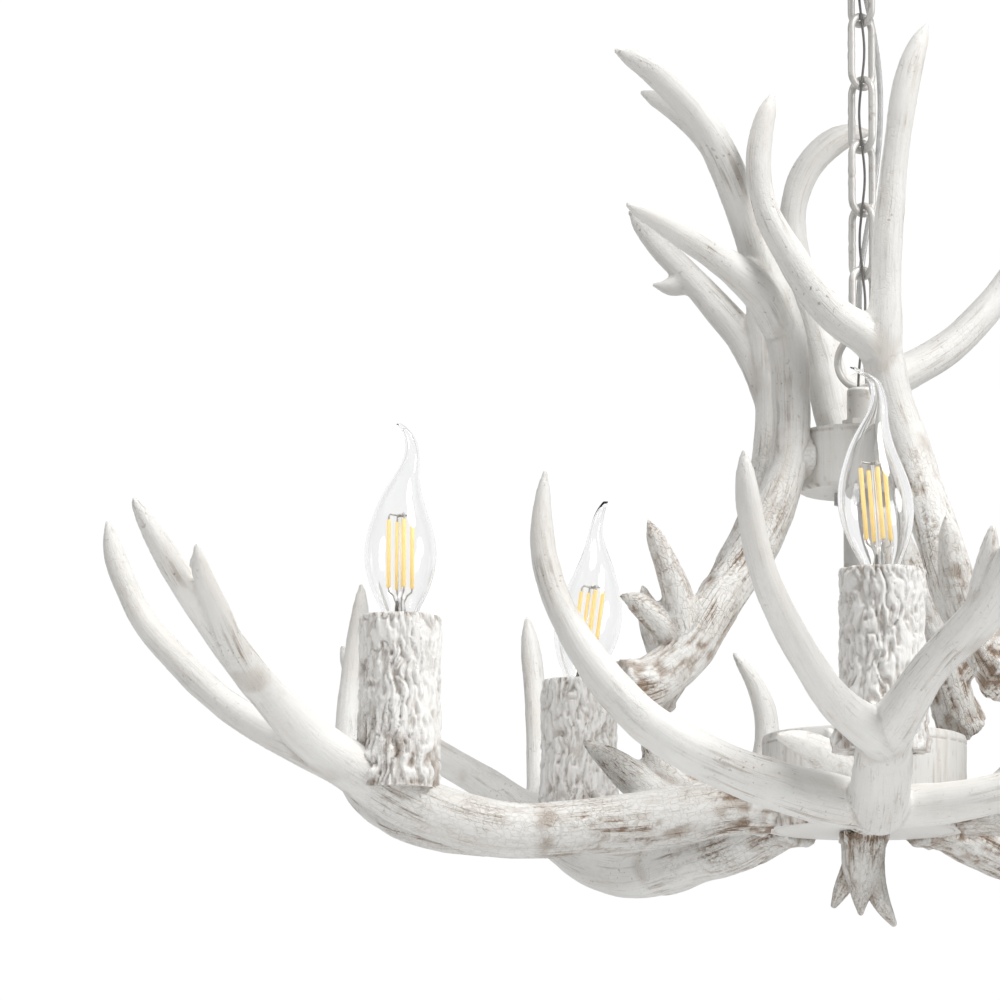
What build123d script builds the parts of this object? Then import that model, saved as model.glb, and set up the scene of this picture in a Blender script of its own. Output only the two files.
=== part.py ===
from build123d import *
import math
import os

os.makedirs("parts", exist_ok=True)

# --- driving sizes, mm ---
wire = 3.5
seat_gap = 0.3
touch_gap = 0.1
hook_gap = 0.3

lower_drum_r = 48.5
lower_drum_tall = 45.5
drum_wall = 6.0
drum_rim_r = 3.0
cap_plate = 4.0
stem_tall = 110.0
upper_drum_r = 31.0
upper_drum_tall = 29.0
upper_rim_r = 1.2

rod_r = 4.8
rod_stand = 6.0
stem_r = 9.5
stem_bore_r = 7.0
nut_flat_r = 12.0
stem_nut_height = 6.0
inner_nut_flat_r = 9.0
inner_nut_height = 7.0
washer_r = 11.5
washer_height = 1.6
lock_nut_flat_r = 8.6
lock_nut_height = 4.4

collar_r = 7.7
collar_tall = 15.5
collar_round = 2.0
ring_wire_r = wire / 2
ring_outer_r = 15.0
ring_line_r = ring_outer_r - ring_wire_r
ring_sink = 1.5
ring_turn = -25.0

link_count = 6
link_pitch = 30.9
link_half_width = 6.9
link_length = link_pitch + 2 * wire + hook_gap
link_straight = link_length - wire - 2 * link_half_width
link_turn = 45.0

loop_ring_outer_r = 11.0
loop_line_r = loop_ring_outer_r - wire / 2
loop_ring_sink = 1.0
loop_collar_r = 12.0
loop_collar_show = 8.65
loop_collar_inside = 7.0
canopy_tall = 27.0
canopy_r = 60.0
canopy_wall = 2.0
canopy_hole_r = 12.6
canopy_step = 6.0
canopy_ease = 8.0
ring_nut_r = 17.0
ring_nut_height = 6.0
ring_nut_chamfer = 1.2
bar_long = 100.0
bar_wide = 16.0
bar_thick = 3.0
bar_slot_out = 39.0
bar_slot_long = 9.0
bar_slot_wide = 4.6
crossbar_nut_flat_r = 8.0
crossbar_nut_height = 4.0

candle_circle_r = 228.0
candle_tall = 81.0
candle_rise = 3.0
candle_r = 19.2
candle_bore_r = 14.5
foot_flare = 4.0
holder_r = 13.2
holder_rise = 20.0
holder_neck = 8.0
socket_r = 7.3
socket_spare = 1.0
nipple_r = 4.8
nipple_rise = 2.0
base_r = 6.9
base_tall = 26.0
flange_r = 8.6
flange_tall = 2.0
bulb_sink = 4.0
glass_wall = 0.8

filament_r = 1.1
filament_circle = 6.0
filament_rise = 16.5
filament_tall = 32.0
filament_count = 4
filament_start = 20.0
core_stem_r = 4.5
core_stem_tall = 8.0
core_rod_r = 0.9
core_disc_edge = 1.4
core_disc_thick = 1.0
core_overlap = 0.4

cord_r = 1.4
earth_r = 0.6
cord_hole_gap = 0.4

bolt_r = 3.0
bolt_rise = 9.5
bolt_reach = 26.0
bolt_head_r = 5.2
bolt_head_height = 3.6
screw_r = 2.4
screw_depth = 9.0
screw_head_r = 4.2
screw_head_height = 2.6
head_gap = 0.4
pad_r = 8.6

# --- heights, stacked up from a datum well under the chandelier ---
lower_drum_low = 321.5
lower_drum_top = lower_drum_low + lower_drum_tall
lower_bolt_height = lower_drum_low + bolt_rise
stem_top = lower_drum_top + stem_tall
upper_drum_low = stem_top + stem_nut_height
upper_drum_top = upper_drum_low + upper_drum_tall
pad_height = upper_drum_low + upper_drum_tall / 2
rod_top = upper_drum_top + rod_stand
lock_nut_low = upper_drum_top + washer_height
collar_low = lock_nut_low + lock_nut_height
collar_top = collar_low + collar_tall
ring_height = collar_top + ring_outer_r - ring_sink
first_link_low = ring_height + ring_line_r - wire - hook_gap
last_link_low = first_link_low + (link_count - 1) * link_pitch
loop_wire_low = last_link_low + link_straight + 2 * link_half_width - wire - hook_gap
loop_height = loop_wire_low + loop_line_r
loop_collar_low = loop_height + loop_line_r - loop_ring_sink
canopy_low = loop_collar_low + loop_collar_show
ceiling_height = canopy_low + canopy_tall
bar_low = ceiling_height - bar_thick

candle_low = lower_bolt_height + candle_rise
candle_top = candle_low + candle_tall
base_top = candle_top - bulb_sink
base_low = base_top - base_tall
holder_low = candle_low + holder_rise
holder_top = base_top - flange_tall - seat_gap
nipple_low = candle_low + nipple_rise
filament_low = base_top + filament_rise
print("ceiling at", round(ceiling_height, 3))


# The ceiling is z = 0, so everything hangs below the origin
def level(height):
    return height - ceiling_height


# --- tapered horn: round sections lofted along a line of stations ---
def horn(stations, grow=0.0):
    points = [Vector(x, y, level(h)) for x, y, h, r in stations]
    side = Vector(0.31, 0.17, 0.93)
    rings = []
    for index, (x, y, h, r) in enumerate(stations):
        before = points[max(index - 1, 0)]
        after = points[min(index + 1, len(points) - 1)]
        along = (after - before).normalized()
        side = (side - along * side.dot(along)).normalized()
        plane = Plane(origin=points[index], x_dir=side, z_dir=along)
        rings.append(plane * Circle(r + grow))
    return loft(rings)


# --- the lower casting: beam, long tines, two spurs and two brow tines. Stations
# are out from the centre line, sideways, height over the root bolt, radius ---
lower_beam = [
    (40.0, 0.0, -2.0, 12.5),
    (62.0, 0.0, 0.0, 13.4),
    (95.0, 2.0, -6.0, 13.8),
    (132.0, 0.0, -11.0, 13.0),
    (180.0, 0.0, -14.0, 13.0),
    (204.0, 0.0, -9.0, 13.2),
    (229.0, 0.0, 0.5, 12.8),
    (253.0, 0.0, 14.0, 11.6),
    (273.0, -4.0, 26.5, 10.2),
    (298.0, -18.0, 46.5, 8.3),
    (319.5, -36.0, 65.0, 7.6),
    (340.5, -50.0, 86.5, 6.5),
    (357.0, -58.0, 107.5, 4.9),
    (369.0, -60.0, 126.0, 2.0),
]
lower_back_tine = [
    (248.0, 0.0, 9.0, 9.0),
    (266.0, 4.0, 19.0, 9.6),
    (284.0, 17.0, 28.5, 8.2),
    (307.0, 33.0, 45.0, 6.9),
    (324.5, 45.0, 64.0, 6.4),
    (337.5, 53.0, 81.0, 5.9),
    (346.0, 57.0, 98.5, 5.2),
    (352.0, 59.0, 116.0, 4.2),
    (354.5, 59.0, 128.0, 1.6),
]
lower_side_tine = [
    (158.0, -4.0, -14.0, 10.0),
    (184.0, 20.0, -14.0, 11.4),
    (204.0, 51.0, -8.5, 11.0),
    (216.0, 82.0, 2.0, 10.0),
    (220.0, 109.5, 19.0, 9.0),
    (217.0, 131.0, 43.0, 7.6),
    (212.0, 145.5, 68.5, 6.2),
    (208.0, 151.5, 95.0, 4.8),
    (207.0, 150.5, 118.0, 1.6),
]
lower_spur_a = [
    (321.0, -36.0, 66.0, 4.6),
    (328.0, -38.0, 77.0, 4.6),
    (334.5, -41.0, 90.0, 3.9),
    (337.0, -43.0, 102.0, 2.0),
]
lower_spur_b = [
    (304.0, -24.0, 50.0, 6.0),
    (319.0, -42.0, 65.0, 5.8),
    (331.0, -58.0, 82.0, 5.0),
    (340.0, -68.0, 97.0, 3.6),
    (342.5, -72.0, 105.5, 1.8),
]
lower_brow_a = [
    (92.0, 2.0, -2.0, 10.0),
    (106.0, 15.0, 10.0, 8.6),
    (117.0, 30.0, 22.5, 5.6),
    (124.0, 43.0, 30.5, 2.4),
]
lower_brow_b = [
    (84.0, 4.0, 3.0, 9.5),
    (93.0, 10.0, 14.0, 8.0),
    (99.0, 16.0, 24.0, 5.2),
    (102.5, 20.0, 35.0, 2.4),
]
lower_tray_tine = [
    (150.0, 2.0, -13.0, 9.0),
    (168.0, -22.0, -14.0, 9.4),
    (178.0, -52.0, -10.0, 8.6),
    (182.0, -82.0, 3.0, 7.2),
    (181.0, -106.0, 23.0, 5.4),
    (178.0, -118.0, 47.0, 2.2),
]

# Each casting is bent and set a little by hand: where it points, how far its outer
# half dips, its roll, and the shift of the tips of its tines
still = (0.0, 0.0, 0.0)
dip_from = 230.0
dip_run = 50.0
lower_set = [
    {
        "azimuth": 71.0,
        "dip": 0.0,
        "roll": 2.5,
        "beam": still,
        "back": still,
        "side": (0.0, 0.0, -6.0),
        "brow": still,
        "tray": False,
    },
    {
        "azimuth": 141.3,
        "dip": 0.0,
        "roll": 0.0,
        "beam": (-3.0, 10.0, -16.0),
        "back": (0.0, 0.0, 5.0),
        "side": (14.0, -58.0, -14.0),
        "brow": still,
        "tray": False,
    },
    {
        "azimuth": -2.0,
        "dip": -15.0,
        "roll": 0.0,
        "beam": still,
        "back": (0.0, 4.0, 4.0),
        "side": (0.0, -1.5, 12.0),
        "brow": (0.0, 0.0, -9.0),
        "tray": True,
    },
    {
        "azimuth": -73.0,
        "dip": 0.0,
        "roll": 0.0,
        "beam": still,
        "back": still,
        "side": still,
        "brow": still,
        "tray": False,
    },
    {
        "azimuth": 214.0,
        "dip": 0.0,
        "roll": 0.0,
        "beam": still,
        "back": still,
        "side": still,
        "brow": still,
        "tray": False,
    },
]
spur_part = 0.75
spur_root = 0.6


# A tine's stations on one casting. Its tip takes all of the shift, and its root
# the held share of it
def turned(stations, bend, shift, held=0.0):
    angle = math.radians(bend["azimuth"])
    tilt = math.tan(math.radians(bend["roll"]))
    last = len(stations) - 1
    placed = []
    for index, (out, side, height, radius) in enumerate(stations):
        share = held + (1.0 - held) * (index / last) ** 2
        fall = min(max((out - dip_from) / dip_run, 0.0), 1.0)
        fall = fall * fall * (3.0 - 2.0 * fall)
        reach = out + shift[0] * share
        lean = side + shift[1] * share
        rise = lower_bolt_height + height + shift[2] * share + bend["dip"] * fall + side * tilt
        x = -reach * math.sin(angle) - lean * math.cos(angle)
        y = -reach * math.cos(angle) + lean * math.sin(angle)
        placed.append((x, y, rise, radius))
    return placed


def spin(azimuth, out, height):
    angle = math.radians(azimuth)
    return (-out * math.sin(angle), -out * math.cos(angle), level(height))


# A round bar that points straight out from the centre line
def radial_bar(azimuth, out_from, out_to, height, radius):
    angle = math.radians(azimuth)
    outward = (-math.sin(angle), -math.cos(angle), 0)
    foot = Plane(origin=spin(azimuth, out_from, height), z_dir=outward)
    return Solid.make_cylinder(radius, out_to - out_from, foot)


def upright(x, y, low, high, radius):
    return Solid.make_cylinder(radius, high - low, Plane(origin=(x, y, level(low))))


bolt_end = lower_drum_r + bolt_reach
for number, bend in enumerate(lower_set, 1):
    name = "lower_antler_" + str(number)
    azimuth = bend["azimuth"]
    spur_shift = tuple(value * spur_part for value in bend["beam"])
    beam = horn(turned(lower_beam, bend, bend["beam"]))
    branches = [
        horn(turned(lower_back_tine, bend, bend["back"])),
        horn(turned(lower_side_tine, bend, bend["side"])),
        horn(turned(lower_spur_a, bend, spur_shift, spur_root)),
        horn(turned(lower_spur_b, bend, spur_shift, spur_root)),
        horn(turned(lower_brow_a, bend, bend["brow"])),
        horn(turned(lower_brow_b, bend, bend["brow"])),
    ]
    if bend["tray"]:
        branches.append(horn(turned(lower_tray_tine, bend, still)))
    candle_x, candle_y, _ = spin(azimuth, candle_circle_r, candle_low)
    hub_clear = upright(0, 0, lower_drum_low - 30, lower_drum_top + 30, lower_drum_r + touch_gap)
    bolt_hole = radial_bar(azimuth, lower_drum_r - 5, bolt_end + 2, lower_bolt_height, bolt_r + seat_gap)
    nipple_hole = upright(candle_x, candle_y, nipple_low, holder_low, nipple_r + seat_gap)
    with BuildPart() as lower_antler:
        add(beam)
        for branch in branches:
            add(branch)
        add(hub_clear, mode=Mode.SUBTRACT)
        add(bolt_hole, mode=Mode.SUBTRACT)
        add(nipple_hole, mode=Mode.SUBTRACT)
    lower_antler.part.label = name
    export_step(lower_antler.part, "parts/" + name + ".step")
    print(name, len(lower_antler.part.solids()), round(lower_antler.part.volume / 1000.0, 1), "cm3")


# --- upper antlers: across from the centre line, depth away from the front,
# height over the pad screw, and radius, from the burr end up ---
upper_front_left = [
    [
        (-113.0, -64.0, -114.5, 12.6),
        (-106.0, -61.0, -113.5, 12.0),
        (-94.0, -56.0, -108.0, 11.4),
        (-80.0, -51.0, -93.5, 10.9),
        (-68.5, -44.0, -73.5, 10.8),
        (-53.0, -34.0, -49.5, 9.9),
        (-42.0, -26.0, -25.5, 9.4),
        (-35.0, -20.0, -0.5, 8.6),
        (-34.0, -20.0, 27.5, 8.6),
        (-38.0, -24.0, 62.5, 9.4),
        (-46.0, -30.0, 84.5, 9.2),
        (-53.0, -40.0, 106.5, 8.4),
        (-62.0, -50.0, 129.5, 7.8),
        (-73.5, -60.0, 151.0, 7.2),
        (-89.0, -68.0, 169.0, 6.0),
        (-103.0, -75.0, 179.5, 4.5),
        (-115.0, -80.0, 184.0, 1.8),
    ],
    [
        (-40.0, -27.0, 62.5, 8.4),
        (-47.0, -35.0, 74.5, 8.6),
        (-60.0, -50.0, 84.5, 7.6),
        (-77.0, -68.0, 93.5, 5.8),
        (-94.0, -84.0, 101.5, 4.0),
        (-109.0, -95.0, 107.5, 1.8),
    ],
    [
        (-82.0, -52.0, -93.5, 8.4),
        (-86.5, -55.0, -72.5, 6.6),
        (-92.5, -59.0, -55.5, 4.3),
        (-97.5, -62.0, -43.5, 2.9),
        (-100.5, -64.0, -36.5, 1.4),
    ],
    [
        (-84.0, -52.0, -93.5, 7.5),
        (-93.0, -54.0, -85.0, 6.2),
        (-101.0, -56.0, -78.0, 4.8),
        (-108.0, -57.0, -73.0, 3.8),
        (-112.0, -58.0, -71.5, 2.2),
    ],
]
upper_back_left = [
    [
        (-106.0, 58.0, -109.5, 11.8),
        (-101.0, 56.0, -102.5, 11.0),
        (-88.0, 50.0, -85.5, 10.4),
        (-74.0, 42.0, -65.5, 10.0),
        (-59.0, 33.0, -41.5, 9.6),
        (-49.0, 26.0, -17.5, 9.0),
        (-44.0, 23.0, 7.5, 8.8),
        (-43.0, 24.0, 37.5, 8.6),
        (-45.5, 27.0, 70.5, 8.8),
        (-49.0, 30.0, 95.5, 8.3),
        (-53.5, 34.0, 119.5, 7.6),
        (-61.5, 40.0, 142.5, 6.8),
        (-73.5, 46.0, 164.5, 6.0),
        (-90.0, 53.0, 182.5, 4.2),
        (-107.5, 60.0, 193.5, 1.8),
    ],
    [
        (-44.0, 25.0, 34.5, 8.0),
        (-50.5, 30.0, 53.5, 8.0),
        (-65.5, 38.0, 76.5, 7.4),
        (-83.5, 47.0, 98.5, 6.0),
        (-99.5, 54.0, 116.5, 4.4),
        (-113.0, 60.0, 134.0, 1.8),
    ],
    [
        (-85.0, 48.0, 96.5, 4.0),
        (-93.0, 48.0, 94.5, 3.4),
        (-101.0, 49.0, 95.5, 1.6),
    ],
    [
        (-92.0, 51.0, -90.5, 8.0),
        (-99.0, 58.0, -77.5, 6.8),
        (-104.0, 66.0, -63.5, 4.4),
        (-107.0, 72.0, -49.5, 1.8),
    ],
]
upper_front_right = [
    [
        (66.0, -104.0, -117.5, 12.4),
        (62.0, -99.0, -110.5, 11.6),
        (54.0, -88.0, -95.5, 11.0),
        (45.0, -75.0, -77.5, 10.8),
        (36.0, -59.0, -47.5, 10.4),
        (27.5, -45.0, -18.5, 9.6),
        (20.0, -38.0, 6.5, 9.4),
        (12.0, -37.0, 32.5, 9.4),
        (6.0, -40.0, 50.5, 9.4),
        (-7.0, -44.0, 59.5, 8.6),
        (-21.0, -49.0, 71.5, 8.0),
        (-34.0, -55.0, 90.5, 7.0),
        (-44.5, -60.0, 109.5, 5.9),
        (-48.5, -63.0, 129.5, 4.9),
        (-46.5, -64.0, 150.5, 3.9),
        (-42.0, -64.0, 166.0, 1.8),
    ],
    [
        (9.0, -39.0, 40.5, 8.4),
        (10.0, -41.0, 54.5, 8.4),
        (11.0, -43.0, 72.5, 7.2),
        (11.5, -45.0, 95.5, 6.6),
        (13.5, -46.0, 118.5, 6.2),
        (16.0, -47.0, 141.5, 6.0),
        (19.3, -48.0, 164.5, 5.4),
        (25.0, -48.0, 188.0, 4.0),
        (30.8, -48.0, 202.5, 1.6),
    ],
    [
        (51.0, -85.0, -91.5, 8.4),
        (44.0, -93.0, -74.5, 7.2),
        (40.0, -100.0, -57.5, 4.8),
        (38.0, -105.0, -41.5, 1.8),
    ],
    [
        (60.0, -96.0, -106.5, 8.0),
        (67.0, -93.0, -93.5, 6.6),
        (73.0, -92.0, -81.5, 4.4),
        (77.0, -92.0, -70.5, 2.0),
    ],
]
upper_back_right = [
    [
        (48.0, 108.0, -114.5, 12.2),
        (45.0, 102.0, -107.5, 11.4),
        (38.0, 90.0, -89.5, 10.8),
        (28.0, 74.0, -63.5, 10.2),
        (14.0, 56.0, -31.5, 9.6),
        (-1.0, 45.0, -3.5, 9.2),
        (-12.0, 41.0, 22.5, 9.2),
        (-18.0, 41.0, 50.5, 9.4),
        (-26.0, 43.0, 78.5, 8.4),
        (-31.5, 45.0, 102.5, 7.2),
        (-34.0, 48.0, 125.5, 6.4),
        (-31.0, 51.0, 143.5, 6.0),
        (-23.0, 54.0, 158.5, 5.6),
        (-12.0, 57.0, 168.5, 5.0),
        (-3.0, 59.0, 172.0, 3.6),
        (4.0, 60.0, 172.5, 1.8),
    ],
    [
        (-13.0, 42.0, 30.5, 8.4),
        (-4.0, 48.0, 40.5, 8.6),
        (12.0, 56.0, 49.5, 8.6),
        (35.0, 68.0, 62.5, 8.0),
        (60.0, 82.0, 87.5, 7.0),
        (82.0, 92.0, 121.5, 5.2),
        (95.0, 96.0, 154.5, 1.8),
    ],
    [
        (40.0, 93.0, -93.5, 8.0),
        (52.0, 92.0, -81.5, 6.8),
        (61.0, 93.0, -67.5, 4.6),
        (66.0, 95.0, -51.5, 1.8),
    ],
    [
        (45.0, 101.0, -105.5, 7.8),
        (40.0, 112.0, -95.5, 6.4),
        (37.0, 120.0, -84.5, 4.2),
        (36.0, 126.0, -74.5, 2.0),
    ],
]
# antler, where its pad meets the upper drum, and how far out the pad reaches
upper_set = [
    ("upper_antler_1", upper_front_left, 60.0, 38.0),
    ("upper_antler_2", upper_back_left, 117.5, 50.0),
    ("upper_antler_3", upper_front_right, -28.5, 46.0),
    ("upper_antler_4", upper_back_right, 180.0, 44.0),
]
pad_root = upper_drum_r - screw_depth
screw_end = upper_drum_r - screw_depth
bore_end = upper_drum_r + 60.0


def lifted(stations):
    return [(x, y, pad_height + height, radius) for x, y, height, radius in stations]


for name, horns, azimuth, reach in upper_set:
    beam = horn(lifted(horns[0]))
    branches = [horn(lifted(stations)) for stations in horns[1:]]
    pad = radial_bar(azimuth, pad_root, reach, pad_height, pad_r)
    drum_clear = upright(0, 0, upper_drum_low - 30, upper_drum_top + 3, upper_drum_r + touch_gap)
    screw_hole = radial_bar(azimuth, pad_root, bore_end, pad_height, screw_r + seat_gap)
    head_hole = radial_bar(azimuth, reach, bore_end, pad_height, screw_head_r + head_gap)
    with BuildPart() as upper_antler:
        add(beam)
        for branch in branches:
            add(branch)
        add(pad)
        add(drum_clear, mode=Mode.SUBTRACT)
        add(screw_hole, mode=Mode.SUBTRACT)
        add(head_hole, mode=Mode.SUBTRACT)
    upper_antler.part.label = name
    export_step(upper_antler.part, "parts/" + name + ".step")
    print(name, len(upper_antler.part.solids()), round(upper_antler.part.volume / 1000.0, 1), "cm3")

# Screws through the pads into the upper drum
with BuildPart() as upper_screws:
    for name, horns, azimuth, reach in upper_set:
        add(radial_bar(azimuth, screw_end, reach, pad_height, screw_r))
        add(radial_bar(azimuth, reach, reach + screw_head_height, pad_height, screw_head_r))
upper_screws.part.label = "upper_screws"
export_step(upper_screws.part, "parts/upper_screws.step")

# Upper drum: solid, bored for the threaded rod and the pad screws
with BuildPart() as upper_drum:
    with BuildSketch(Plane.XY.offset(level(upper_drum_low))):
        Circle(upper_drum_r)
    extrude(amount=upper_drum_tall)
    fillet(upper_drum.edges().filter_by(GeomType.CIRCLE), upper_rim_r)
    with BuildSketch(Plane.XY.offset(level(upper_drum_low))):
        Circle(rod_r + seat_gap)
    extrude(amount=upper_drum_tall, mode=Mode.SUBTRACT)
    for name, horns, azimuth, reach in upper_set:
        screw_bore = radial_bar(azimuth, screw_end - 1, bore_end, pad_height, screw_r + seat_gap)
        add(screw_bore, mode=Mode.SUBTRACT)
upper_drum.part.label = "upper_drum"
export_step(upper_drum.part, "parts/upper_drum.step")

# Lower drum: an open-bottomed cup with a thick top, closed by a cap plate
drum_bore_r = lower_drum_r - drum_wall
with BuildPart() as lower_drum:
    with BuildSketch(Plane.XY.offset(level(lower_drum_low))):
        Circle(lower_drum_r)
    extrude(amount=lower_drum_tall)
    fillet(lower_drum.edges().filter_by(GeomType.CIRCLE).sort_by(Axis.Z)[-1], drum_rim_r)
    with BuildSketch(Plane.XY.offset(level(lower_drum_low))):
        Circle(drum_bore_r)
    extrude(amount=lower_drum_tall - drum_wall, mode=Mode.SUBTRACT)
    with BuildSketch(Plane.XY.offset(level(lower_drum_top - drum_wall))):
        Circle(rod_r + seat_gap)
    extrude(amount=drum_wall, mode=Mode.SUBTRACT)
    for bend in lower_set:
        azimuth = bend["azimuth"]
        hole = radial_bar(azimuth, drum_bore_r - 3, bolt_end, lower_bolt_height, bolt_r + seat_gap)
        add(hole, mode=Mode.SUBTRACT)
lower_drum.part.label = "lower_drum"
export_step(lower_drum.part, "parts/lower_drum.step")

with BuildPart() as lower_cap:
    with BuildSketch(Plane.XY.offset(level(lower_drum_low))):
        Circle(drum_bore_r - seat_gap)
        Circle(rod_r + seat_gap, mode=Mode.SUBTRACT)
    extrude(amount=cap_plate)
lower_cap.part.label = "lower_cap"
export_step(lower_cap.part, "parts/lower_cap.step")

# Bolts from inside the lower drum into the antler roots
head_seat = math.sqrt(drum_bore_r ** 2 - bolt_head_r ** 2) - touch_gap
with BuildPart() as lower_bolts:
    for bend in lower_set:
        azimuth = bend["azimuth"]
        add(radial_bar(azimuth, head_seat, bolt_end, lower_bolt_height, bolt_r))
        add(radial_bar(azimuth, head_seat - bolt_head_height, head_seat, lower_bolt_height, bolt_head_r))
lower_bolts.part.label = "lower_bolts"
export_step(lower_bolts.part, "parts/lower_bolts.step")

# Finial antler: a stub on the cap plate that parts into three tines. Heights are
# over the bottom of the lower drum
finial_trunk = [
    (0.0, 0.0, 0.0, 12.2),
    (-0.5, 0.0, -8.0, 10.6),
    (-1.0, -1.0, -17.0, 9.4),
    (-1.5, -2.0, -26.0, 6.6),
    (-2.0, -3.0, -34.0, 3.4),
    (-2.0, -3.5, -39.0, 1.6),
]
finial_left = [
    (-3.0, 2.0, -12.0, 6.4),
    (-7.0, 4.0, -20.0, 5.2),
    (-11.0, 5.0, -27.5, 3.8),
    (-14.5, 6.0, -34.5, 1.8),
]
finial_right = [
    (2.0, 0.0, -12.0, 7.0),
    (4.0, 1.0, -23.0, 5.8),
    (8.0, 2.0, -34.0, 4.2),
    (13.5, 3.0, -45.0, 1.8),
]
finial_reach = 10.0
finial_horns = []
for stations in (finial_trunk, finial_left, finial_right):
    finial_horns.append(horn([(x, y, lower_drum_low + height, r) for x, y, height, r in stations]))
finial_top = upright(0, 0, lower_drum_low, lower_drum_top, drum_bore_r)
finial_bore = upright(0, 0, lower_drum_low - finial_reach - 1, lower_drum_top, rod_r + seat_gap)
with BuildPart() as finial:
    for branch in finial_horns:
        add(branch)
    add(finial_top, mode=Mode.SUBTRACT)
    add(finial_bore, mode=Mode.SUBTRACT)
finial.part.label = "finial_antler"
export_step(finial.part, "parts/finial_antler.step")
print("finial", len(finial.part.solids()))

# --- centre: threaded rod, stem tube, nuts, hub loop ---
rod_low = lower_drum_low - finial_reach
with BuildPart() as threaded_rod:
    with BuildSketch(Plane.XY.offset(level(rod_low))):
        Circle(rod_r)
    extrude(amount=rod_top - rod_low)
threaded_rod.part.label = "threaded_rod"
export_step(threaded_rod.part, "parts/threaded_rod.step")

with BuildPart() as stem_tube:
    with BuildSketch(Plane.XY.offset(level(lower_drum_top))):
        Circle(stem_r)
        Circle(stem_bore_r, mode=Mode.SUBTRACT)
    extrude(amount=stem_tall)
stem_tube.part.label = "stem_tube"
export_step(stem_tube.part, "parts/stem_tube.step")

with BuildPart() as stem_nut:
    with BuildSketch(Plane.XY.offset(level(stem_top))):
        RegularPolygon(nut_flat_r, 6, major_radius=False)
        Circle(rod_r + seat_gap, mode=Mode.SUBTRACT)
    extrude(amount=stem_nut_height)
stem_nut.part.label = "stem_nut"
export_step(stem_nut.part, "parts/stem_nut.step")

inner_nut_low = lower_drum_low + cap_plate
upper_nut_low = lower_drum_top - drum_wall - inner_nut_height
with BuildPart() as drum_nuts:
    for low in (inner_nut_low, upper_nut_low):
        with BuildSketch(Plane.XY.offset(level(low))):
            RegularPolygon(inner_nut_flat_r, 6, major_radius=False)
            Circle(rod_r + seat_gap, mode=Mode.SUBTRACT)
        extrude(amount=inner_nut_height)
drum_nuts.part.label = "drum_nuts"
export_step(drum_nuts.part, "parts/drum_nuts.step")

# Washer stack and hub loop: a round collar that carries the lowest ring
with BuildPart() as hub_washer:
    with BuildSketch(Plane.XY.offset(level(upper_drum_top))):
        Circle(washer_r)
        Circle(rod_r + seat_gap, mode=Mode.SUBTRACT)
    extrude(amount=washer_height)
hub_washer.part.label = "hub_washer"
export_step(hub_washer.part, "parts/hub_washer.step")

with BuildPart() as hub_lock_nut:
    with BuildSketch(Plane.XY.offset(level(lock_nut_low))):
        RegularPolygon(lock_nut_flat_r, 6, major_radius=False)
        Circle(rod_r + seat_gap, mode=Mode.SUBTRACT)
    extrude(amount=lock_nut_height)
hub_lock_nut.part.label = "hub_lock_nut"
export_step(hub_lock_nut.part, "parts/hub_lock_nut.step")


# A ring of wire that stands on edge, its plane turned from the front
def torus_at(height, turn, line_radius, tube_radius):
    angle = math.radians(turn)
    facing = (math.sin(angle), -math.cos(angle), 0)
    plane = Plane(origin=(0, 0, level(height)), x_dir=(0, 0, 1), z_dir=facing)
    return Solid.make_torus(line_radius, tube_radius, plane)


# where both cords enter the hub collar and leave the ceiling collar: x, y
supply_in = (2.6, 3.4)
earth_in = (-2.2, -3.7)
supply_out = (-3.5, 7.0)
earth_out = (-1.0, -7.6)
supply_hole_r = cord_r + cord_hole_gap
earth_hole_r = earth_r + cord_hole_gap
entry_low = collar_top - 10.0
entry_high = collar_top + 4.0

with BuildPart() as hub_loop:
    with BuildSketch(Plane.XY.offset(level(collar_low))):
        Circle(collar_r)
    extrude(amount=collar_tall)
    fillet(hub_loop.edges().filter_by(GeomType.CIRCLE).sort_by(Axis.Z)[-1], collar_round)
    add(torus_at(ring_height, ring_turn, ring_line_r, ring_wire_r))
    add(upright(*supply_in, entry_low, entry_high, supply_hole_r), mode=Mode.SUBTRACT)
    add(upright(*earth_in, entry_low, entry_high, earth_hole_r), mode=Mode.SUBTRACT)
    with BuildSketch(Plane.XY.offset(level(collar_low))):
        Circle(rod_r + seat_gap)
    extrude(amount=rod_top - collar_low + seat_gap, mode=Mode.SUBTRACT)
hub_loop.part.label = "hub_loop"
export_step(hub_loop.part, "parts/hub_loop.step")
print("hub loop", len(hub_loop.part.solids()))


# --- chain: oval welded links, each turned a quarter from its neighbour ---
def chain_link(number):
    low_bend = first_link_low + (number - 1) * link_pitch
    angle = math.radians(link_turn if number % 2 else -link_turn)
    across = (math.cos(angle), math.sin(angle), 0)
    normal = (math.sin(angle), -math.cos(angle), 0)
    middle = low_bend + link_half_width + link_straight / 2
    plane = Plane(origin=(0, 0, level(middle)), x_dir=across, z_dir=normal)
    half = link_straight / 2
    with BuildPart() as link:
        with BuildLine(plane) as loop:
            Line((link_half_width, -half), (link_half_width, half))
            CenterArc((0, half), link_half_width, 0, 180)
            Line((-link_half_width, half), (-link_half_width, -half))
            CenterArc((0, -half), link_half_width, 180, 180)
        with BuildSketch(Plane(origin=loop.line @ 0, z_dir=loop.line % 0)):
            Circle(wire / 2)
        sweep(path=loop.line)
    return link.part


for number in range(1, link_count + 1):
    link_name = "chain_link_" + str(number)
    link_solid = chain_link(number)
    with BuildPart() as one_link:
        add(link_solid)
    one_link.part.label = link_name
    export_step(one_link.part, "parts/" + link_name + ".step")
print("link", one_link.part.volume, len(one_link.part.solids()))

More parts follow.
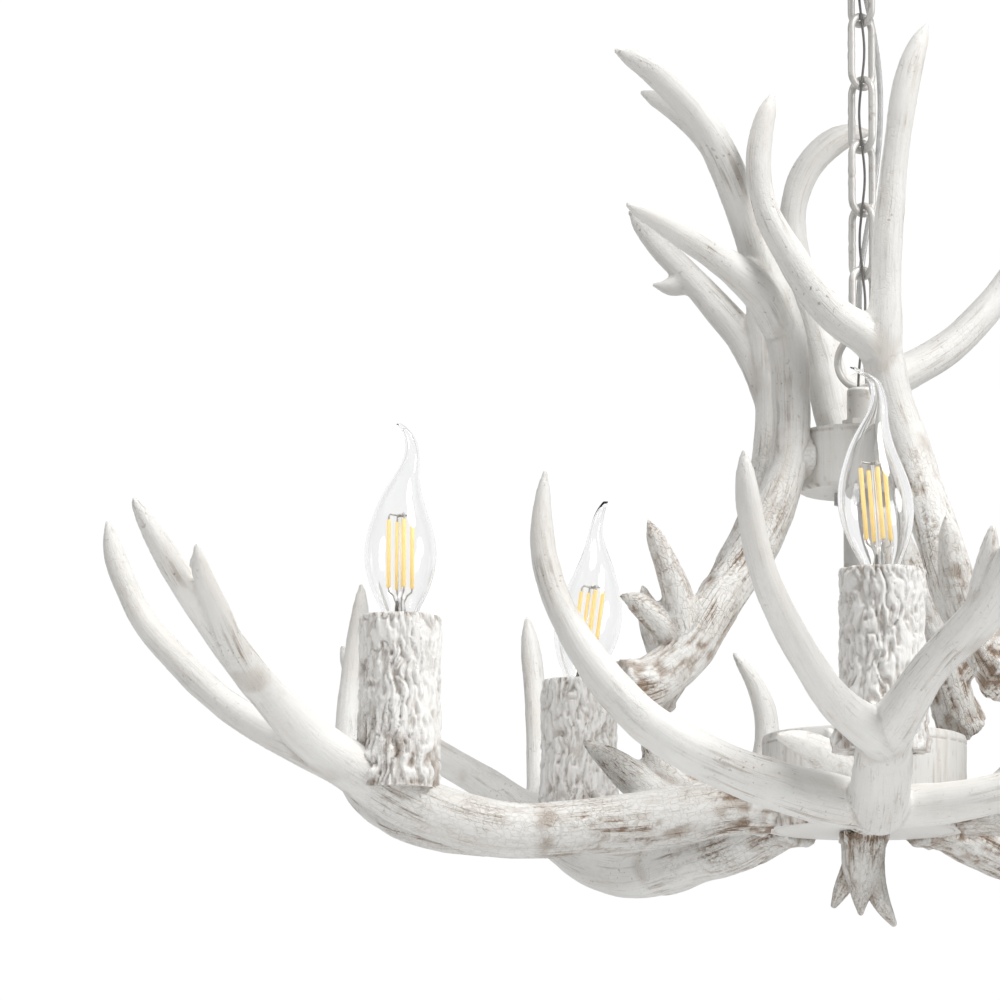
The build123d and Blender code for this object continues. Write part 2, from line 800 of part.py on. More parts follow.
# --- ceiling fitting: nipple loop, crossbar, canopy, ring nut ---
nipple_foot = canopy_low + loop_collar_inside
loop_turn = link_turn if link_count % 2 == 0 else -link_turn
print("canopy loop", round(loop_height, 2), "collar from", round(loop_collar_low, 2))
with BuildPart() as canopy_loop:
    with BuildSketch(Plane.XY.offset(level(loop_collar_low))):
        Circle(loop_collar_r)
    extrude(amount=nipple_foot - loop_collar_low)
    with BuildSketch(Plane.XY.offset(level(nipple_foot))):
        Circle(rod_r)
    extrude(amount=ceiling_height - touch_gap - nipple_foot)
    add(torus_at(loop_height, loop_turn, loop_line_r, wire / 2))
    add(upright(*supply_out, loop_collar_low - 1, ceiling_height, supply_hole_r), mode=Mode.SUBTRACT)
    add(upright(*earth_out, loop_collar_low - 1, ceiling_height, earth_hole_r), mode=Mode.SUBTRACT)
canopy_loop.part.label = "canopy_loop"
export_step(canopy_loop.part, "parts/canopy_loop.step")
print("canopy loop solids", len(canopy_loop.part.solids()))

with BuildPart() as crossbar:
    with BuildSketch(Plane.XY.offset(level(bar_low))):
        Rectangle(bar_long, bar_wide)
        Circle(rod_r + seat_gap, mode=Mode.SUBTRACT)
        with Locations((-bar_slot_out, 0), (bar_slot_out, 0)):
            SlotOverall(bar_slot_long, bar_slot_wide, mode=Mode.SUBTRACT)
    extrude(amount=bar_thick)
crossbar.part.label = "ceiling_crossbar"
export_step(crossbar.part, "parts/ceiling_crossbar.step")

# lock nut that holds the nipple in the crossbar
with BuildPart() as crossbar_nut:
    with BuildSketch(Plane.XY.offset(level(bar_low - crossbar_nut_height))):
        RegularPolygon(crossbar_nut_flat_r, 6, major_radius=False)
        Circle(rod_r + seat_gap, mode=Mode.SUBTRACT)
    extrude(amount=crossbar_nut_height)
crossbar_nut.part.label = "crossbar_nut"
export_step(crossbar_nut.part, "parts/crossbar_nut.step")

# the canopy's face steps back twice before its straight rim
shoulder_r = canopy_r - canopy_ease
face_r = canopy_r - 2 * canopy_ease
shoulder_height = canopy_low + canopy_step
rim_low = canopy_low + 2 * canopy_step
with BuildPart() as canopy:
    with BuildSketch(Plane.XZ):
        with BuildLine():
            Polyline(
                (canopy_hole_r, level(canopy_low)),
                (face_r, level(canopy_low)),
                (shoulder_r, level(shoulder_height)),
                (canopy_r, level(rim_low)),
                (canopy_r, level(ceiling_height)),
                (canopy_r - canopy_wall, level(ceiling_height)),
                (canopy_r - canopy_wall, level(rim_low + canopy_wall / 2)),
                (shoulder_r - canopy_wall / 2, level(shoulder_height + canopy_wall)),
                (face_r - canopy_wall / 2, level(canopy_low + canopy_wall)),
                (canopy_hole_r, level(canopy_low + canopy_wall)),
                close=True,
            )
        make_face()
    revolve(axis=Axis.Z)
canopy.part.label = "canopy"
export_step(canopy.part, "parts/canopy.step")

with BuildPart() as ring_nut:
    with BuildSketch(Plane.XY.offset(level(canopy_low - ring_nut_height))):
        Circle(ring_nut_r)
        Circle(loop_collar_r + seat_gap, mode=Mode.SUBTRACT)
    extrude(amount=ring_nut_height)
    low_rims = ring_nut.edges().filter_by(GeomType.CIRCLE).group_by(Axis.Z)[0]
    chamfer(low_rims.sort_by(SortBy.RADIUS)[-1], ring_nut_chamfer)
ring_nut.part.label = "ring_nut"
export_step(ring_nut.part, "parts/ring_nut.step")

# --- candles: bark sleeve, lampholder on its nipple, bulb ---
sleeve_profile = [
    (candle_r + foot_flare, candle_low),
    (candle_r + 0.8 * foot_flare, candle_low + 8.0),
    (candle_r + 0.3 * foot_flare, candle_low + 20.0),
    (candle_r - 0.6, candle_low + 34.0),
    (candle_r - 0.4, candle_top - 16.0),
    (candle_r, candle_top),
]
# glass outline: height over the base, radius, sideways lean as the tail bends
glass_outline = [
    (0.0, 7.6, 0.0),
    (7.0, 9.2, 0.0),
    (13.0, 12.0, 0.0),
    (20.0, 14.7, 0.0),
    (27.0, 16.3, 0.0),
    (35.0, 16.7, 0.0),
    (44.0, 15.3, 0.0),
    (53.0, 12.3, 0.0),
    (62.0, 9.0, 0.8),
    (70.0, 6.0, 2.8),
    (78.0, 3.9, 4.9),
    (86.0, 2.7, 4.6),
    (91.5, 2.0, 2.0),
    (94.5, 1.3, -1.2),
]
hollow_stations = 11
# each bulb: the way its tail bends as seen from above, how far the bulb leans to
# the right, both in degrees, and how far its very tip hooks sideways in mm
bulb_set = [(0.0, 0.0, 0.0), (120.0, 7.5, 0.0), (0.0, -4.5, -4.0), (60.0, 0.0, 0.0), (300.0, 0.0, 0.0)]


def glass_body(x, y, shape, inset, count):
    turn, tilt, hook = shape
    angle = math.radians(turn)
    slope = math.tan(math.radians(tilt))
    tip = len(glass_outline) - 1
    rings = []
    for index, (height, radius, lean) in enumerate(glass_outline[:count]):
        hooked = hook * max(0.0, 1.0 - 0.7 * (tip - index))
        across = x + lean * math.cos(angle) + height * slope + hooked
        depth = y + lean * math.sin(angle)
        rings.append(Plane(origin=(across, depth, level(base_top + height))) * Circle(radius - inset))
    return loft(rings)


# A round bar that leans to the right with its bulb
def leaning(x, y, low, high, radius, slope):
    foot = Vector(x + (low - base_top) * slope, y, level(low))
    head = Vector(x + (high - base_top) * slope, y, level(high))
    along = head - foot
    return Solid.make_cylinder(radius, along.length, Plane(origin=foot, z_dir=along))


filament_high = filament_low + filament_tall
core_stem_top = base_top + core_stem_tall
for index, bend in enumerate(lower_set):
    tag = str(index + 1)
    x, y, _ = spin(bend["azimuth"], candle_circle_r, candle_low)
    beam_clear = horn(turned(lower_beam, bend, bend["beam"])[4:10], seat_gap)
    tine_clear = horn(turned(lower_back_tine, bend, bend["back"])[0:5], seat_gap)
    side_clear = horn(turned(lower_side_tine, bend, bend["side"])[0:5], seat_gap)
    with BuildPart() as sleeve:
        with BuildSketch(Plane(origin=(x, y, 0), x_dir=(1, 0, 0), z_dir=(0, -1, 0))):
            with BuildLine():
                outer = Spline(*[(r, level(h)) for r, h in sleeve_profile])
                Line(outer @ 1, (candle_bore_r, level(candle_top)))
                Line((candle_bore_r, level(candle_top)), (candle_bore_r, level(candle_low)))
                Line((candle_bore_r, level(candle_low)), outer @ 0)
            make_face()
        revolve(axis=Axis((x, y, 0), (0, 0, 1)))
        add(beam_clear, mode=Mode.SUBTRACT)
        add(tine_clear, mode=Mode.SUBTRACT)
        add(side_clear, mode=Mode.SUBTRACT)
    sleeve_solid = sleeve.part.solids().sort_by(SortBy.VOLUME)[-1]
    with BuildPart() as candle_sleeve:
        add(sleeve_solid)
    candle_sleeve.part.label = "candle_sleeve_" + tag
    export_step(candle_sleeve.part, "parts/candle_sleeve_" + tag + ".step")
    print("sleeve", tag, len(sleeve.part.solids()), round(candle_sleeve.part.volume / 1000.0, 2))

    with BuildPart() as bulb_base:
        with BuildSketch(Plane((x, y, level(base_low)))):
            Circle(base_r)
        extrude(amount=base_tall - flange_tall)
        with BuildSketch(Plane((x, y, level(base_top - flange_tall)))):
            Circle(flange_r)
        extrude(amount=flange_tall)
    bulb_base.part.label = "bulb_base_" + tag
    export_step(bulb_base.part, "parts/bulb_base_" + tag + ".step")

    shape = bulb_set[index]
    slope = math.tan(math.radians(shape[1]))
    outer_glass = glass_body(x, y, shape, 0.0, len(glass_outline))
    inner_glass = glass_body(x, y, shape, glass_wall, hollow_stations)
    with BuildPart() as bulb_glass:
        add(outer_glass)
        add(inner_glass, mode=Mode.SUBTRACT)
    bulb_glass.part.label = "bulb_glass_" + tag
    export_step(bulb_glass.part, "parts/bulb_glass_" + tag + ".step")
    print("glass", tag, len(bulb_glass.part.solids()), round(bulb_glass.part.volume / 1000.0, 2))

    # glass stem, centre rod, and filaments strung between two small discs
    core_pieces = [
        upright(x, y, base_top, core_stem_top, core_stem_r),
        leaning(x, y, core_stem_top - core_overlap, filament_high + core_overlap, core_rod_r, slope),
    ]
    for low in (filament_low - core_disc_thick, filament_high):
        middle = x + (low + core_disc_thick / 2 - base_top) * slope
        core_pieces.append(upright(middle, y, low, low + core_disc_thick, filament_circle + core_disc_edge))
    for step in range(filament_count):
        angle = math.radians(filament_start + 360.0 * step / filament_count)
        fx = x + filament_circle * math.cos(angle)
        fy = y + filament_circle * math.sin(angle)
        core_pieces.append(
            leaning(fx, fy, filament_low - core_overlap, filament_high + core_overlap, filament_r, slope)
        )
    with BuildPart() as bulb_core:
        for piece in core_pieces:
            add(piece)
    bulb_core.part.label = "bulb_core_" + tag
    export_step(bulb_core.part, "parts/bulb_core_" + tag + ".step")
    print("core", tag, len(bulb_core.part.solids()))

# lampholders and their nipples, one of each inside every sleeve
seats = [spin(bend["azimuth"], candle_circle_r, holder_low) for bend in lower_set]
neck_top = holder_low + holder_neck
with BuildPart() as lampholders:
    for x, y, _ in seats:
        add(upright(x, y, holder_low, holder_top, holder_r))
    for x, y, _ in seats:
        add(upright(x, y, base_low - socket_spare, holder_top, socket_r), mode=Mode.SUBTRACT)
        add(upright(x, y, holder_low, neck_top, nipple_r + seat_gap), mode=Mode.SUBTRACT)
lampholders.part.label = "lampholders"
export_step(lampholders.part, "parts/lampholders.step")

with BuildPart() as candle_nipples:
    for x, y, _ in seats:
        add(upright(x, y, nipple_low, neck_top, nipple_r))
candle_nipples.part.label = "candle_nipples"
export_step(candle_nipples.part, "parts/candle_nipples.step")

# --- cords: the clear supply lead runs down behind the chain, the thin dark earth
# wire weaves through the links, and both end in the hub collar ---
# beside the chain: x, y, and the share of the way up from the ring to the loop
supply_bends = [
    (-3.4, 7.1, 1.0),
    (2.0, 10.8, 0.887),
    (8.6, 9.6, 0.72),
    (9.2, 10.6, 0.563),
    (5.5, 9.4, 0.407),
    (0.5, 10.4, 0.27),
    (-2.5, 9.6, 0.142),
    (0.5, 8.2, 0.025),
]
chain_run = loop_height - ring_height
supply_route = [(*supply_out, canopy_low + 5.0)]
for x, y, share in supply_bends:
    supply_route.append((x, y, ring_height + share * chain_run))
supply_route.append((2.8, 3.6, collar_top + 3.5))
supply_route.append((*supply_in, collar_top - 7.5))

crossing_drop = 1.9
crossing_low = ring_height + ring_line_r - crossing_drop
earth_route = [(*earth_out, canopy_low + 7.0), (-1.0, -7.5, loop_collar_low - 1.85)]
for step in range(link_count, -1, -1):
    crossing = crossing_low + step * link_pitch
    earth_route.append((0.0, -3.8, crossing))
    if step:
        sway = 1.7 if step % 2 else -1.7
        earth_route.append((sway, -2.9, crossing - link_pitch / 2))
earth_route.append((-1.4, -4.4, ring_height - 1.0))
earth_route.append((-2.2, -3.8, collar_top + 3.5))
earth_route.append((*earth_in, collar_top - 4.5))


def cord(route, radius):
    points = [Vector(x, y, level(h)) for x, y, h in route]
    radii = []
    for before, at, after in zip(points, points[1:], points[2:]):
        near = at - before
        far = after - at
        half_turn = math.radians(near.get_angle(far)) / 2
        radii.append(0.45 * min(near.length, far.length) / math.tan(half_turn))
    print("cord radii", [round(value, 1) for value in radii])
    with BuildPart() as tube:
        with BuildLine() as path:
            FilletPolyline(*points, radius=radii)
        with BuildSketch(Plane(origin=path.line @ 0, z_dir=path.line % 0)):
            Circle(radius)
        sweep(path=path.line)
    run = sum(edge.length for edge in path.line.edges())
    print("cord length", round(run, 1), "volume", round(tube.part.volume, 1))
    print("section by length", round(math.pi * radius ** 2 * run, 1))
    return tube.part


supply_tube = cord(supply_route, cord_r)
with BuildPart() as supply_cord:
    add(supply_tube)
supply_cord.part.label = "supply_cord"
export_step(supply_cord.part, "parts/supply_cord.step")

earth_tube = cord(earth_route, earth_r)
with BuildPart() as earth_wire:
    add(earth_tube)
earth_wire.part.label = "earth_wire"
export_step(earth_wire.part, "parts/earth_wire.step")
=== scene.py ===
import math
import bpy
import numpy as np
from mathutils import Matrix, Vector


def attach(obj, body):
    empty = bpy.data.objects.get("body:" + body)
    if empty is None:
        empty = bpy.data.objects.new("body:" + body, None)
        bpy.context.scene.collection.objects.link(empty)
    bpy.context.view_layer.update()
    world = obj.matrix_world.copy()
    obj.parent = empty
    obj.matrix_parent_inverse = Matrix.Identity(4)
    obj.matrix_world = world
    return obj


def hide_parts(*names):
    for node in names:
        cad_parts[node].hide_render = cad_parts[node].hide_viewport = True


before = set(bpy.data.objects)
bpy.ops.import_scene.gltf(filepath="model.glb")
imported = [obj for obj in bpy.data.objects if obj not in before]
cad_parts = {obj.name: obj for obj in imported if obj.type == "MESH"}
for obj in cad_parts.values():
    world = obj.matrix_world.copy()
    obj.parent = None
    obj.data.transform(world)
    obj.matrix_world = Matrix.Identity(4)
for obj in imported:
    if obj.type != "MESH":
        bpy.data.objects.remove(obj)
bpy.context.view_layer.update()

# Stations are in millimetres with heights above a datum 795 mm under the ceiling.
ceiling = 795.0


def metres(x, y, height):
    return (x / 1000, y / 1000, (height - ceiling) / 1000)


# Camera, low and looking up about eight degrees
view = {"spot": (-1.7, -3179.3, 8.95), "yaw": 3.088, "pitch": 8.422, "roll": 0.232, "lens": 242.7}
yaw, pitch, roll = (math.radians(view[key]) for key in ("yaw", "pitch", "roll"))
ahead = Vector((-math.sin(yaw) * math.cos(pitch), math.cos(yaw) * math.cos(pitch), math.sin(pitch)))
level = ahead.cross(Vector((0, 0, 1))).normalized()
upright = level.cross(ahead)
rightWay = level * math.cos(roll) + upright * math.sin(roll)
upWay = upright * math.cos(roll) - level * math.sin(roll)
cameraData = bpy.data.cameras.new("camera")
cameraData.lens = view["lens"]
cameraData.clip_end = 100
cameraObject = bpy.data.objects.new("camera", cameraData)
bpy.context.scene.collection.objects.link(cameraObject)
turn = Matrix((rightWay, upWay, -ahead)).transposed().to_4x4()
cameraObject.matrix_world = Matrix.Translation(metres(*view["spot"])) @ turn
bpy.context.scene.camera = cameraObject


# Shader maths
class Wire:
    def __init__(self, tree, socket=None):
        self.tree = tree
        self.socket = socket

    def node(self, kind, settings=None, links=None, output=0):
        made = self.tree.nodes.new(kind)
        for key, value in (settings or {}).items():
            if key == "stops":
                for index, (spot, colour) in enumerate(value):
                    if index > 1:
                        made.color_ramp.elements.new(spot)
                    made.color_ramp.elements[index].position = spot
                    made.color_ramp.elements[index].color = (*colour, 1)
            else:
                setattr(made, key, value)
        for key, value in (links or {}).items():
            if isinstance(value, Wire):
                self.tree.links.new(value.socket, made.inputs[key])
            else:
                made.inputs[key].default_value = value
        return Wire(self.tree, made.outputs[output])

    def maths(self, operation, first, second, clamp=False):
        settings = {"operation": operation, "use_clamp": clamp}
        return self.node("ShaderNodeMath", settings, {0: first, 1: second})

    def __add__(self, other):
        return self.maths("ADD", self, other)

    __radd__ = __add__

    def __sub__(self, other):
        return self.maths("SUBTRACT", self, other)

    def __rsub__(self, other):
        return self.maths("SUBTRACT", other, self)

    def __mul__(self, other):
        return self.maths("MULTIPLY", self, other)

    __rmul__ = __mul__

    def held(self):
        return self.maths("ADD", self, 0.0, True)


def spread(place, factors):
    return place.node("ShaderNodeVectorMath", {"operation": "MULTIPLY"}, {0: place, 1: factors})


def cloud(place, scale, detail=4.0, rough=0.55):
    links = {"Vector": place, "Scale": scale, "Detail": detail, "Roughness": rough}
    return place.node("ShaderNodeTexNoise", None, links)


def shaken(place, around, amount):
    wobble = around.node("ShaderNodeTexNoise", None, {"Vector": around, "Scale": 170.0, "Detail": 2.0}, 1)
    return place.node("ShaderNodeVectorMath", None, {0: place, 1: spread(wobble, (amount, amount, amount))})


def tint(amount, first, second):
    settings = {"data_type": "RGBA", "clamp_factor": True}
    links = {0: amount, 6: first, 7: second}
    return amount.node("ShaderNodeMix", settings, links, 2)


def coloured(red, green, blue):
    return (red, green, blue, 1.0)


def blank(name, **fixed):
    made = bpy.data.materials.new(name)
    made.use_nodes = True
    shader = made.node_tree.nodes["Principled BSDF"]
    for key, value in fixed.items():
        shader.inputs[key.replace("_", " ")].default_value = value
    root = Wire(made.node_tree)
    return made, root, shader


def feed(shader, key, wire):
    wire.tree.links.new(wire.socket, shader.inputs[key])


def bumped(shader, height, strength, distance):
    links = {"Height": height, "Strength": strength, "Distance": distance}
    feed(shader, "Normal", height.node("ShaderNodeBump", None, links))


def attribute(root, name, output=2):
    return root.node("ShaderNodeAttribute", {"attribute_name": name}, None, output)


# Cast resin: warm white, with a brown-grey wash rubbed into grain and creases
def resinMaterial(name, finish):
    made, root, shader = blank(name, IOR=1.48, Specular_IOR_Level=0.42)
    grain = attribute(root, "grain", 1)
    worn = attribute(root, "worn")
    crease = attribute(root, "crease")
    place = root.node("ShaderNodeTexCoord", None, None, 3)
    long = cloud(spread(grain, (20.0, 420.0, 420.0)), 1.0, 5.0, 0.62)
    thread = cloud(spread(grain, (34.0, 1250.0, 1250.0)), 1.0, 4.0, 0.6)
    patch = cloud(place, 38.0, 4.0)
    broad = cloud(place, 11.0, 2.0)
    speck = cloud(place, 560.0, 0.0)
    cells = shaken(spread(grain, (240.0, 420.0, 420.0)), place, 2.4)
    links = {"Vector": cells, "Scale": 1.0}
    edge = cells.node("ShaderNodeTexVoronoi", {"feature": "DISTANCE_TO_EDGE"}, links)
    veil = ((cloud(spread(grain, (16.0, 95.0, 95.0)), 1.0, 3.0) - 0.50) * 3.6).held()
    where = ((patch - 0.42) * 4.0).held()
    cobble = ((0.10 - edge) * 13.0).held() * finish["cobbled"] * (0.15 + worn).held() * (0.35 + where * 0.65)
    deep = ((long - 0.555) * 13.0).held() * where
    fine = ((thread - 0.56) * 9.0).held() * (0.25 + where * 0.75)
    streaks = deep * (worn * 0.8 + finish["lines"]) + fine * (worn * 0.55 + finish["lines"] * 0.7)
    pit = ((speck - 0.745) * 16.0).held() * where * finish["pits"]
    dark = (crease * (0.40 + worn * 0.45) + streaks.held() + pit + cobble * 0.42).held()
    body = tint(((broad - 0.35) * 2.6).held(), coloured(*finish["light"]), coloured(*finish["shade"]))
    stain = (worn * 0.14 * where + crease * 0.24 + veil * 0.20).held()
    stained = tint(stain, body, coloured(0.60, 0.49, 0.38))
    feed(shader, "Base Color", tint(dark, stained, coloured(*finish["wash"])))
    feed(shader, "Roughness", (0.38 + thread * 0.12 + dark * 0.30).held())
    relief = long * 0.5 + thread * 0.25 + patch * 0.2 - dark * 0.4 - cobble * 0.8
    bumped(shader, relief, 0.6, 0.0013)
    return made


# lines, pits and cobbled say how much of the wash lies in each kind of mark
resins = {
    "antlerResin": {
        "light": (0.83, 0.825, 0.80), "shade": (0.74, 0.73, 0.705), "wash": (0.25, 0.175, 0.12),
        "lines": 0.44, "pits": 0.5, "cobbled": 0.75,
    },
    "barkResin": {
        "light": (0.87, 0.865, 0.845), "shade": (0.78, 0.77, 0.75), "wash": (0.20, 0.14, 0.10),
        "lines": 0.05, "pits": 0.5, "cobbled": 0.45,
    },
    "drumResin": {
        "light": (0.81, 0.80, 0.775), "shade": (0.72, 0.71, 0.68), "wash": (0.22, 0.16, 0.12),
        "lines": 0.10, "pits": 0.5, "cobbled": 0.1,
    },
}
antlerResin, barkResin, drumResin = (resinMaterial(name, finish) for name, finish in resins.items())


def metalMaterial(name, base, worn, rough, metallic, scale):
    made, root, shader = blank(name, Metallic=metallic)
    place = root.node("ShaderNodeTexCoord", None, None, 3)
    rub = cloud(place, scale, 5.0, 0.65)
    grit = cloud(place, scale * 9, 3.0)
    mask = ((rub - 0.57) * 6.0).held()
    feed(shader, "Base Color", tint(mask, coloured(*base), coloured(*worn)))
    feed(shader, "Roughness", (rough + grit * 0.18 + mask * 0.12).held())
    bumped(shader, grit * 0.5 + mask * 0.3, 0.25, 0.0003)
    return made


metals = {
    "chainMetal": {
        "base": (0.66, 0.645, 0.62), "worn": (0.40, 0.35, 0.30), "rough": 0.30, "metallic": 0.25,
        "scale": 210.0,
    },
    "whiteMetal": {
        "base": (0.74, 0.73, 0.71), "worn": (0.50, 0.47, 0.43), "rough": 0.34, "metallic": 0.10,
        "scale": 120.0,
    },
    "zincMetal": {
        "base": (0.52, 0.52, 0.52), "worn": (0.38, 0.37, 0.35), "rough": 0.28, "metallic": 1.0,
        "scale": 300.0,
    },
    "capMetal": {
        "base": (0.66, 0.65, 0.62), "worn": (0.48, 0.46, 0.42), "rough": 0.22, "metallic": 1.0,
        "scale": 400.0,
    },
    "wireMetal": {
        "base": (0.74, 0.73, 0.71), "worn": (0.56, 0.55, 0.53), "rough": 0.30, "metallic": 0.2,
        "scale": 500.0,
    },
}
chainMetal, whiteMetal, zincMetal, capMetal, wireMetal = (
    metalMaterial(name, **finish) for name, finish in metals.items()
)


def plasticMaterial(name, base, other, rough, scale, **fixed):
    made, root, shader = blank(name, **fixed)
    place = root.node("ShaderNodeTexCoord", None, None, 3)
    mottle = cloud(place, scale, 4.0)
    grit = cloud(place, scale * 8, 2.0)
    feed(shader, "Base Color", tint(((mottle - 0.35) * 2.5).held(), coloured(*base), coloured(*other)))
    feed(shader, "Roughness", (rough + grit * 0.14).held())
    bumped(shader, grit, 0.15, 0.0002)
    return made


plastics = {
    "holderPlastic": {
        "base": (0.72, 0.70, 0.66), "other": (0.62, 0.60, 0.55), "rough": 0.38, "scale": 180.0,
    },
    "earthPlastic": {
        "base": (0.13, 0.125, 0.12), "other": (0.19, 0.185, 0.18), "rough": 0.32, "scale": 300.0,
    },
    "cordPlastic": {
        "base": (0.70, 0.70, 0.69), "other": (0.50, 0.50, 0.49), "rough": 0.16, "scale": 240.0,
        "Transmission_Weight": 0.55, "Coat_Weight": 0.5,
    },
    "filamentGlow": {
        "base": (0.95, 0.72, 0.28), "other": (0.97, 0.79, 0.38), "rough": 0.42, "scale": 500.0,
        "Emission_Color": (1.0, 0.68, 0.24, 1.0), "Emission_Strength": 0.42,
    },
}
holderPlastic, earthPlastic, cordPlastic, filamentGlow = (
    plasticMaterial(name, **finish) for name, finish in plastics.items()
)


def glassMaterial():
    made, root, shader = blank("bulbGlass", Transmission_Weight=1.0, IOR=1.48, Specular_IOR_Level=0.5)
    place = root.node("ShaderNodeTexCoord", None, None, 3)
    ripple = cloud(place, 46.0, 2.0)
    feed(shader, "Base Color", tint(ripple, coloured(0.965, 0.968, 0.97), coloured(0.985, 0.985, 0.985)))
    feed(shader, "Roughness", (ripple * 0.03).held())
    return made


bulbGlass = glassMaterial()


# Cords, hung behind and inside the chain
def cordCurve(name, route, radius, material, node):
    data = bpy.data.curves.new(name, "CURVE")
    data.dimensions = "3D"
    data.bevel_depth = radius
    data.bevel_resolution = 5
    data.resolution_u = 10
    spline = data.splines.new("NURBS")
    spline.points.add(len(route) - 1)
    for point, spot in zip(spline.points, route):
        point.co = (*metres(*spot), 1.0)
    spline.order_u = 3
    spline.use_endpoint_u = True
    piece = bpy.data.objects.new(name, data)
    bpy.context.scene.collection.objects.link(piece)
    data.materials.append(material)
    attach(piece, "ceiling_fitting")
    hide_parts(node)
    metres(*route[0])


supplyRoute = [
    (-3.5, 7.0, 773.0), (-3.4, 7.1, 751.0), (2.0, 10.8, 728.0), (8.6, 9.6, 694.0), (9.2, 10.6, 662.0),
    (5.5, 9.4, 630.0), (0.5, 10.4, 602.0), (-2.5, 9.6, 576.0), (0.5, 8.2, 552.0), (2.8, 3.6, 537.0),
    (2.6, 3.4, 526.0),
]
# Lowest link's foot and crossing, then the wire's radius and its bends' radius
chain = {
    "count": 6, "pitch": 30.9, "length": 38.2, "low": 556.45, "crossing": 558.35,
    "wire": 1.75, "bend": 6.9,
}
earthRoute = [(-1.0, -7.6, 775.0), (-1.0, -7.5, 757.5)]
for step in range(chain["count"], -1, -1):
    crossing = chain["crossing"] + step * chain["pitch"]
    earthRoute.append((0.0, -3.8, crossing))
    if step:
        earthRoute.append((1.7 if step % 2 else -1.7, -2.9, crossing - chain["pitch"] / 2))
earthRoute += [(-1.4, -4.4, 546.0), (-2.2, -3.8, 537.0), (-2.2, -3.7, 529.0)]
cordCurve("supplyLead", supplyRoute, 0.0014, cordPlastic, "supply_cord")
cordCurve("earthLead", earthRoute, 0.0006, earthPlastic, "earth_wire")
print("camera and cords")


# Lattice noise, the same on every run
def lattice(cell, seed):
    value = cell[..., 0] * 73856093 ^ cell[..., 1] * 19349663 ^ cell[..., 2] * 83492791 ^ seed * 40503
    value = value & 0xFFFFFFFF
    value = ((value ^ (value >> 13)) * 1274126177) & 0xFFFFFFFF
    value = value ^ (value >> 16)
    return value / 4294967295.0 * 2.0 - 1.0


def noise(points, seed=1):
    cell = np.floor(points).astype(np.int64)
    part = points - cell
    part = part * part * (3.0 - 2.0 * part)
    total = np.zeros(len(points))
    for corner in range(8):
        offset = np.array([corner & 1, corner >> 1 & 1, corner >> 2 & 1])
        weight = np.prod(np.where(offset == 1, part, 1.0 - part), axis=1)
        total += weight * lattice(cell + offset, seed)
    return total


def layered(points, seed=1, octaves=3):
    return sum(noise(points * 2.0**level, seed + level) / 2.0**level for level in range(octaves))


def ease(value, low, high):
    share = np.clip((value - low) / (high - low), 0.0, 1.0)
    return share * share * (3.0 - 2.0 * share)


# Smooth line through stations: natural spline in each column
def smoothLine(stations, gap=1.2):
    knots = np.array(stations, float)
    reach = np.r_[0.0, np.cumsum(np.linalg.norm(np.diff(knots[:, :3], axis=0), axis=1))]
    spots = np.linspace(0.0, reach[-1], max(int(reach[-1] / gap), 6))
    count = len(reach)
    step = np.diff(reach)
    system = np.eye(count)
    right = np.zeros((count, knots.shape[1]))
    for row in range(1, count - 1):
        system[row, row - 1:row + 2] = (step[row - 1], 2 * (step[row - 1] + step[row]), step[row])
        slopes = (knots[row + 1] - knots[row]) / step[row] - (knots[row] - knots[row - 1]) / step[row - 1]
        right[row] = 6 * slopes
    bend = np.linalg.solve(system, right)
    low = np.clip(np.searchsorted(reach, spots) - 1, 0, count - 2)
    before = (spots - reach[low])[:, None]
    after = (reach[low + 1] - spots)[:, None]
    width = step[low][:, None]
    line = (bend[low] * after**3 + bend[low + 1] * before**3) / (6 * width)
    line += (knots[low] / width - bend[low] * width / 6) * after
    line += (knots[low + 1] / width - bend[low + 1] * width / 6) * before
    return line, spots


def carried(line):
    along = np.gradient(line[:, :3], axis=0)
    along /= np.linalg.norm(along, axis=1)[:, None]
    side = np.array([0.31, 0.17, 0.93])
    sides = []
    for way in along:
        side = side - way * side.dot(way)
        side /= np.linalg.norm(side)
        sides.append(side)
    sides = np.array(sides)
    return along, sides, np.cross(along, sides)


# Rings of points joined into a skin
def skin(rings, closedLoop=False):
    count, around = len(rings), len(rings[0])
    points = np.concatenate(rings)
    faces = []
    for row in range(count if closedLoop else count - 1):
        here, there = row * around, (row + 1) % count * around
        for column in range(around):
            nextColumn = (column + 1) % around
            faces.append((here + column, here + nextColumn, there + nextColumn, there + column))
    if not closedLoop:
        faces.append(tuple(range(around - 1, -1, -1)))
        faces.append(tuple(range((count - 1) * around, count * around)))
    return points, faces


def meshFrom(name, points, faces):
    data = bpy.data.meshes.new(name)
    data.from_pydata(np.asarray(points).tolist(), [], faces)
    data.update()
    return data


def placed(name, data, material, body, nodes=()):
    data.polygons.foreach_set("use_smooth", [True] * len(data.polygons))
    piece = bpy.data.objects.new(name, data)
    bpy.context.scene.collection.objects.link(piece)
    data.materials.clear()
    data.materials.append(material)
    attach(piece, body)
    if nodes:
        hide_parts(*nodes)


def carry(data, name, values):
    values = np.asarray(values, float)
    kind = "FLOAT_VECTOR" if values.ndim == 2 else "FLOAT"
    made = data.attributes.new(name, kind, "POINT")
    made.data.foreach_set("vector" if values.ndim == 2 else "value", values.ravel())


def readPoints(data):
    points = np.empty(len(data.vertices) * 3)
    data.vertices.foreach_get("co", points)
    normals = np.empty(len(data.vertices) * 3)
    data.vertices.foreach_get("normal", normals)
    return points.reshape(-1, 3), normals.reshape(-1, 3)


